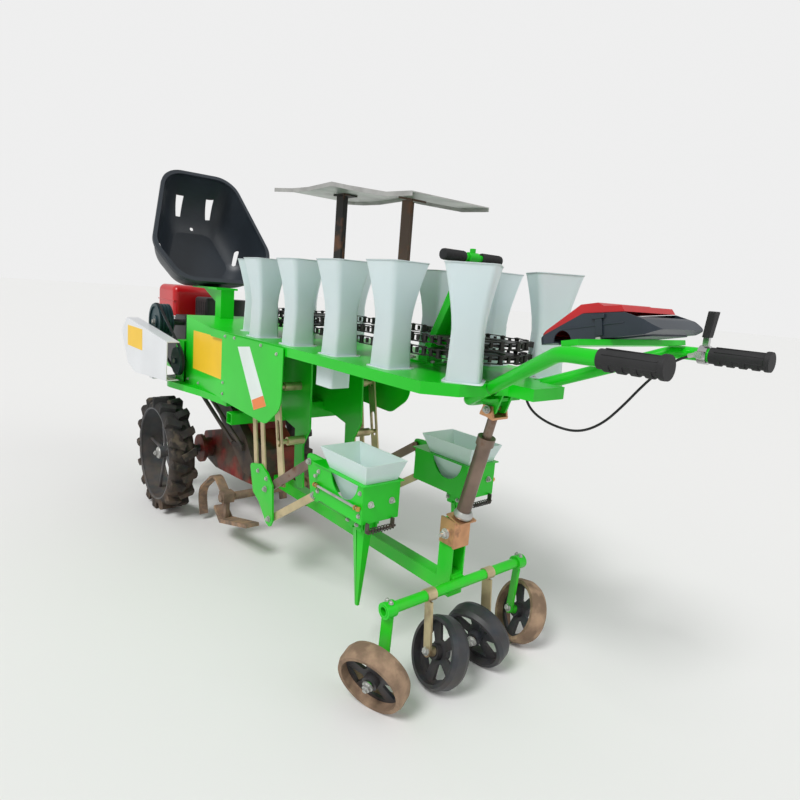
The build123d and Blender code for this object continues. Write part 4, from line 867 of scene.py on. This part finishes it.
def stage_floor():
    mesh = bpy.data.meshes.new("floor")
    form = bmesh.new()
    corners = [form.verts.new((x, y, -0.001)) for x, y in ((-40, -40), (40, -40), (40, 40), (-40, 40))]
    form.faces.new(corners)
    form.to_mesh(mesh)
    form.free()
    floor = bpy.data.objects.new("floor", mesh)
    scene.collection.objects.link(floor)
    material = bpy.data.materials.new("floor")
    material.use_nodes = True
    shader = material.node_tree.nodes["Principled BSDF"]
    shader.inputs["Base Color"].default_value = (0.78, 0.78, 0.77, 1)
    shader.inputs["Roughness"].default_value = 0.95
    mesh.materials.append(material)


def studio_world(strength, seen):
    """Even light from all round; rays straight from the camera see a plain pale backdrop."""
    world = bpy.data.worlds.new("studio")
    scene.world = world
    world.use_nodes = True
    tree = world.node_tree
    light = tree.nodes["Background"]
    light.inputs["Color"].default_value = (1, 1, 1, 1)
    light.inputs["Strength"].default_value = strength
    backdrop = tree.nodes.new("ShaderNodeBackground")
    backdrop.inputs["Color"].default_value = (seen, seen, seen, 1)
    rays = tree.nodes.new("ShaderNodeLightPath")
    mix = tree.nodes.new("ShaderNodeMixShader")
    tree.links.new(rays.outputs["Is Camera Ray"], mix.inputs[0])
    tree.links.new(light.outputs[0], mix.inputs[1])
    tree.links.new(backdrop.outputs[0], mix.inputs[2])
    tree.links.new(mix.outputs[0], tree.nodes["World Output"].inputs["Surface"])


def sun(name, energy, spread, azimuth, height):
    lamp = bpy.data.lights.new(name, "SUN")
    lamp.energy = energy
    lamp.angle = math.radians(spread)
    holder = bpy.data.objects.new(name, lamp)
    a = math.radians(azimuth)
    h = math.radians(height)
    towards = Vector((math.cos(h) * math.cos(a), math.cos(h) * math.sin(a), math.sin(h)))
    holder.rotation_euler = towards.to_track_quat("Z", "Y").to_euler()
    scene.collection.objects.link(holder)


stage_floor()
studio_world(0.55, 0.86)
sun("key", 1.9, 20, -75, 52)
sun("fill", 0.4, 40, 20, 35)

# The photograph's viewpoint, with its small roll and off-centre optical axis
CAMERA_PLACE = Vector((1.737, -1.085, 1.007))
VIEW_AZIMUTH = math.radians(-40.08)
VIEW_HEIGHT = math.radians(9.22)
VIEW_ROLL = math.radians(4.41)

reach = math.cos(VIEW_HEIGHT)
back = Vector((reach * math.cos(VIEW_AZIMUTH), reach * math.sin(VIEW_AZIMUTH), math.sin(VIEW_HEIGHT)))
level = Vector((-math.sin(VIEW_AZIMUTH), math.cos(VIEW_AZIMUTH), 0))
upright = back.cross(level)
right = level * math.cos(VIEW_ROLL) + upright * math.sin(VIEW_ROLL)
up = upright * math.cos(VIEW_ROLL) - level * math.sin(VIEW_ROLL)
lens = bpy.data.cameras.new("photo_camera")
lens.sensor_width = 36
lens.lens = 26.137
lens.shift_x = 0.003125
lens.shift_y = -0.01875
lens.clip_start = 0.05
lens.clip_end = 200
camera = bpy.data.objects.new("photo_camera", lens)
camera.matrix_world = Matrix.Translation(CAMERA_PLACE) @ Matrix((right, up, back)).transposed().to_4x4()
scene.collection.objects.link(camera)
scene.camera = camera
scene.view_settings.view_transform = "Standard"
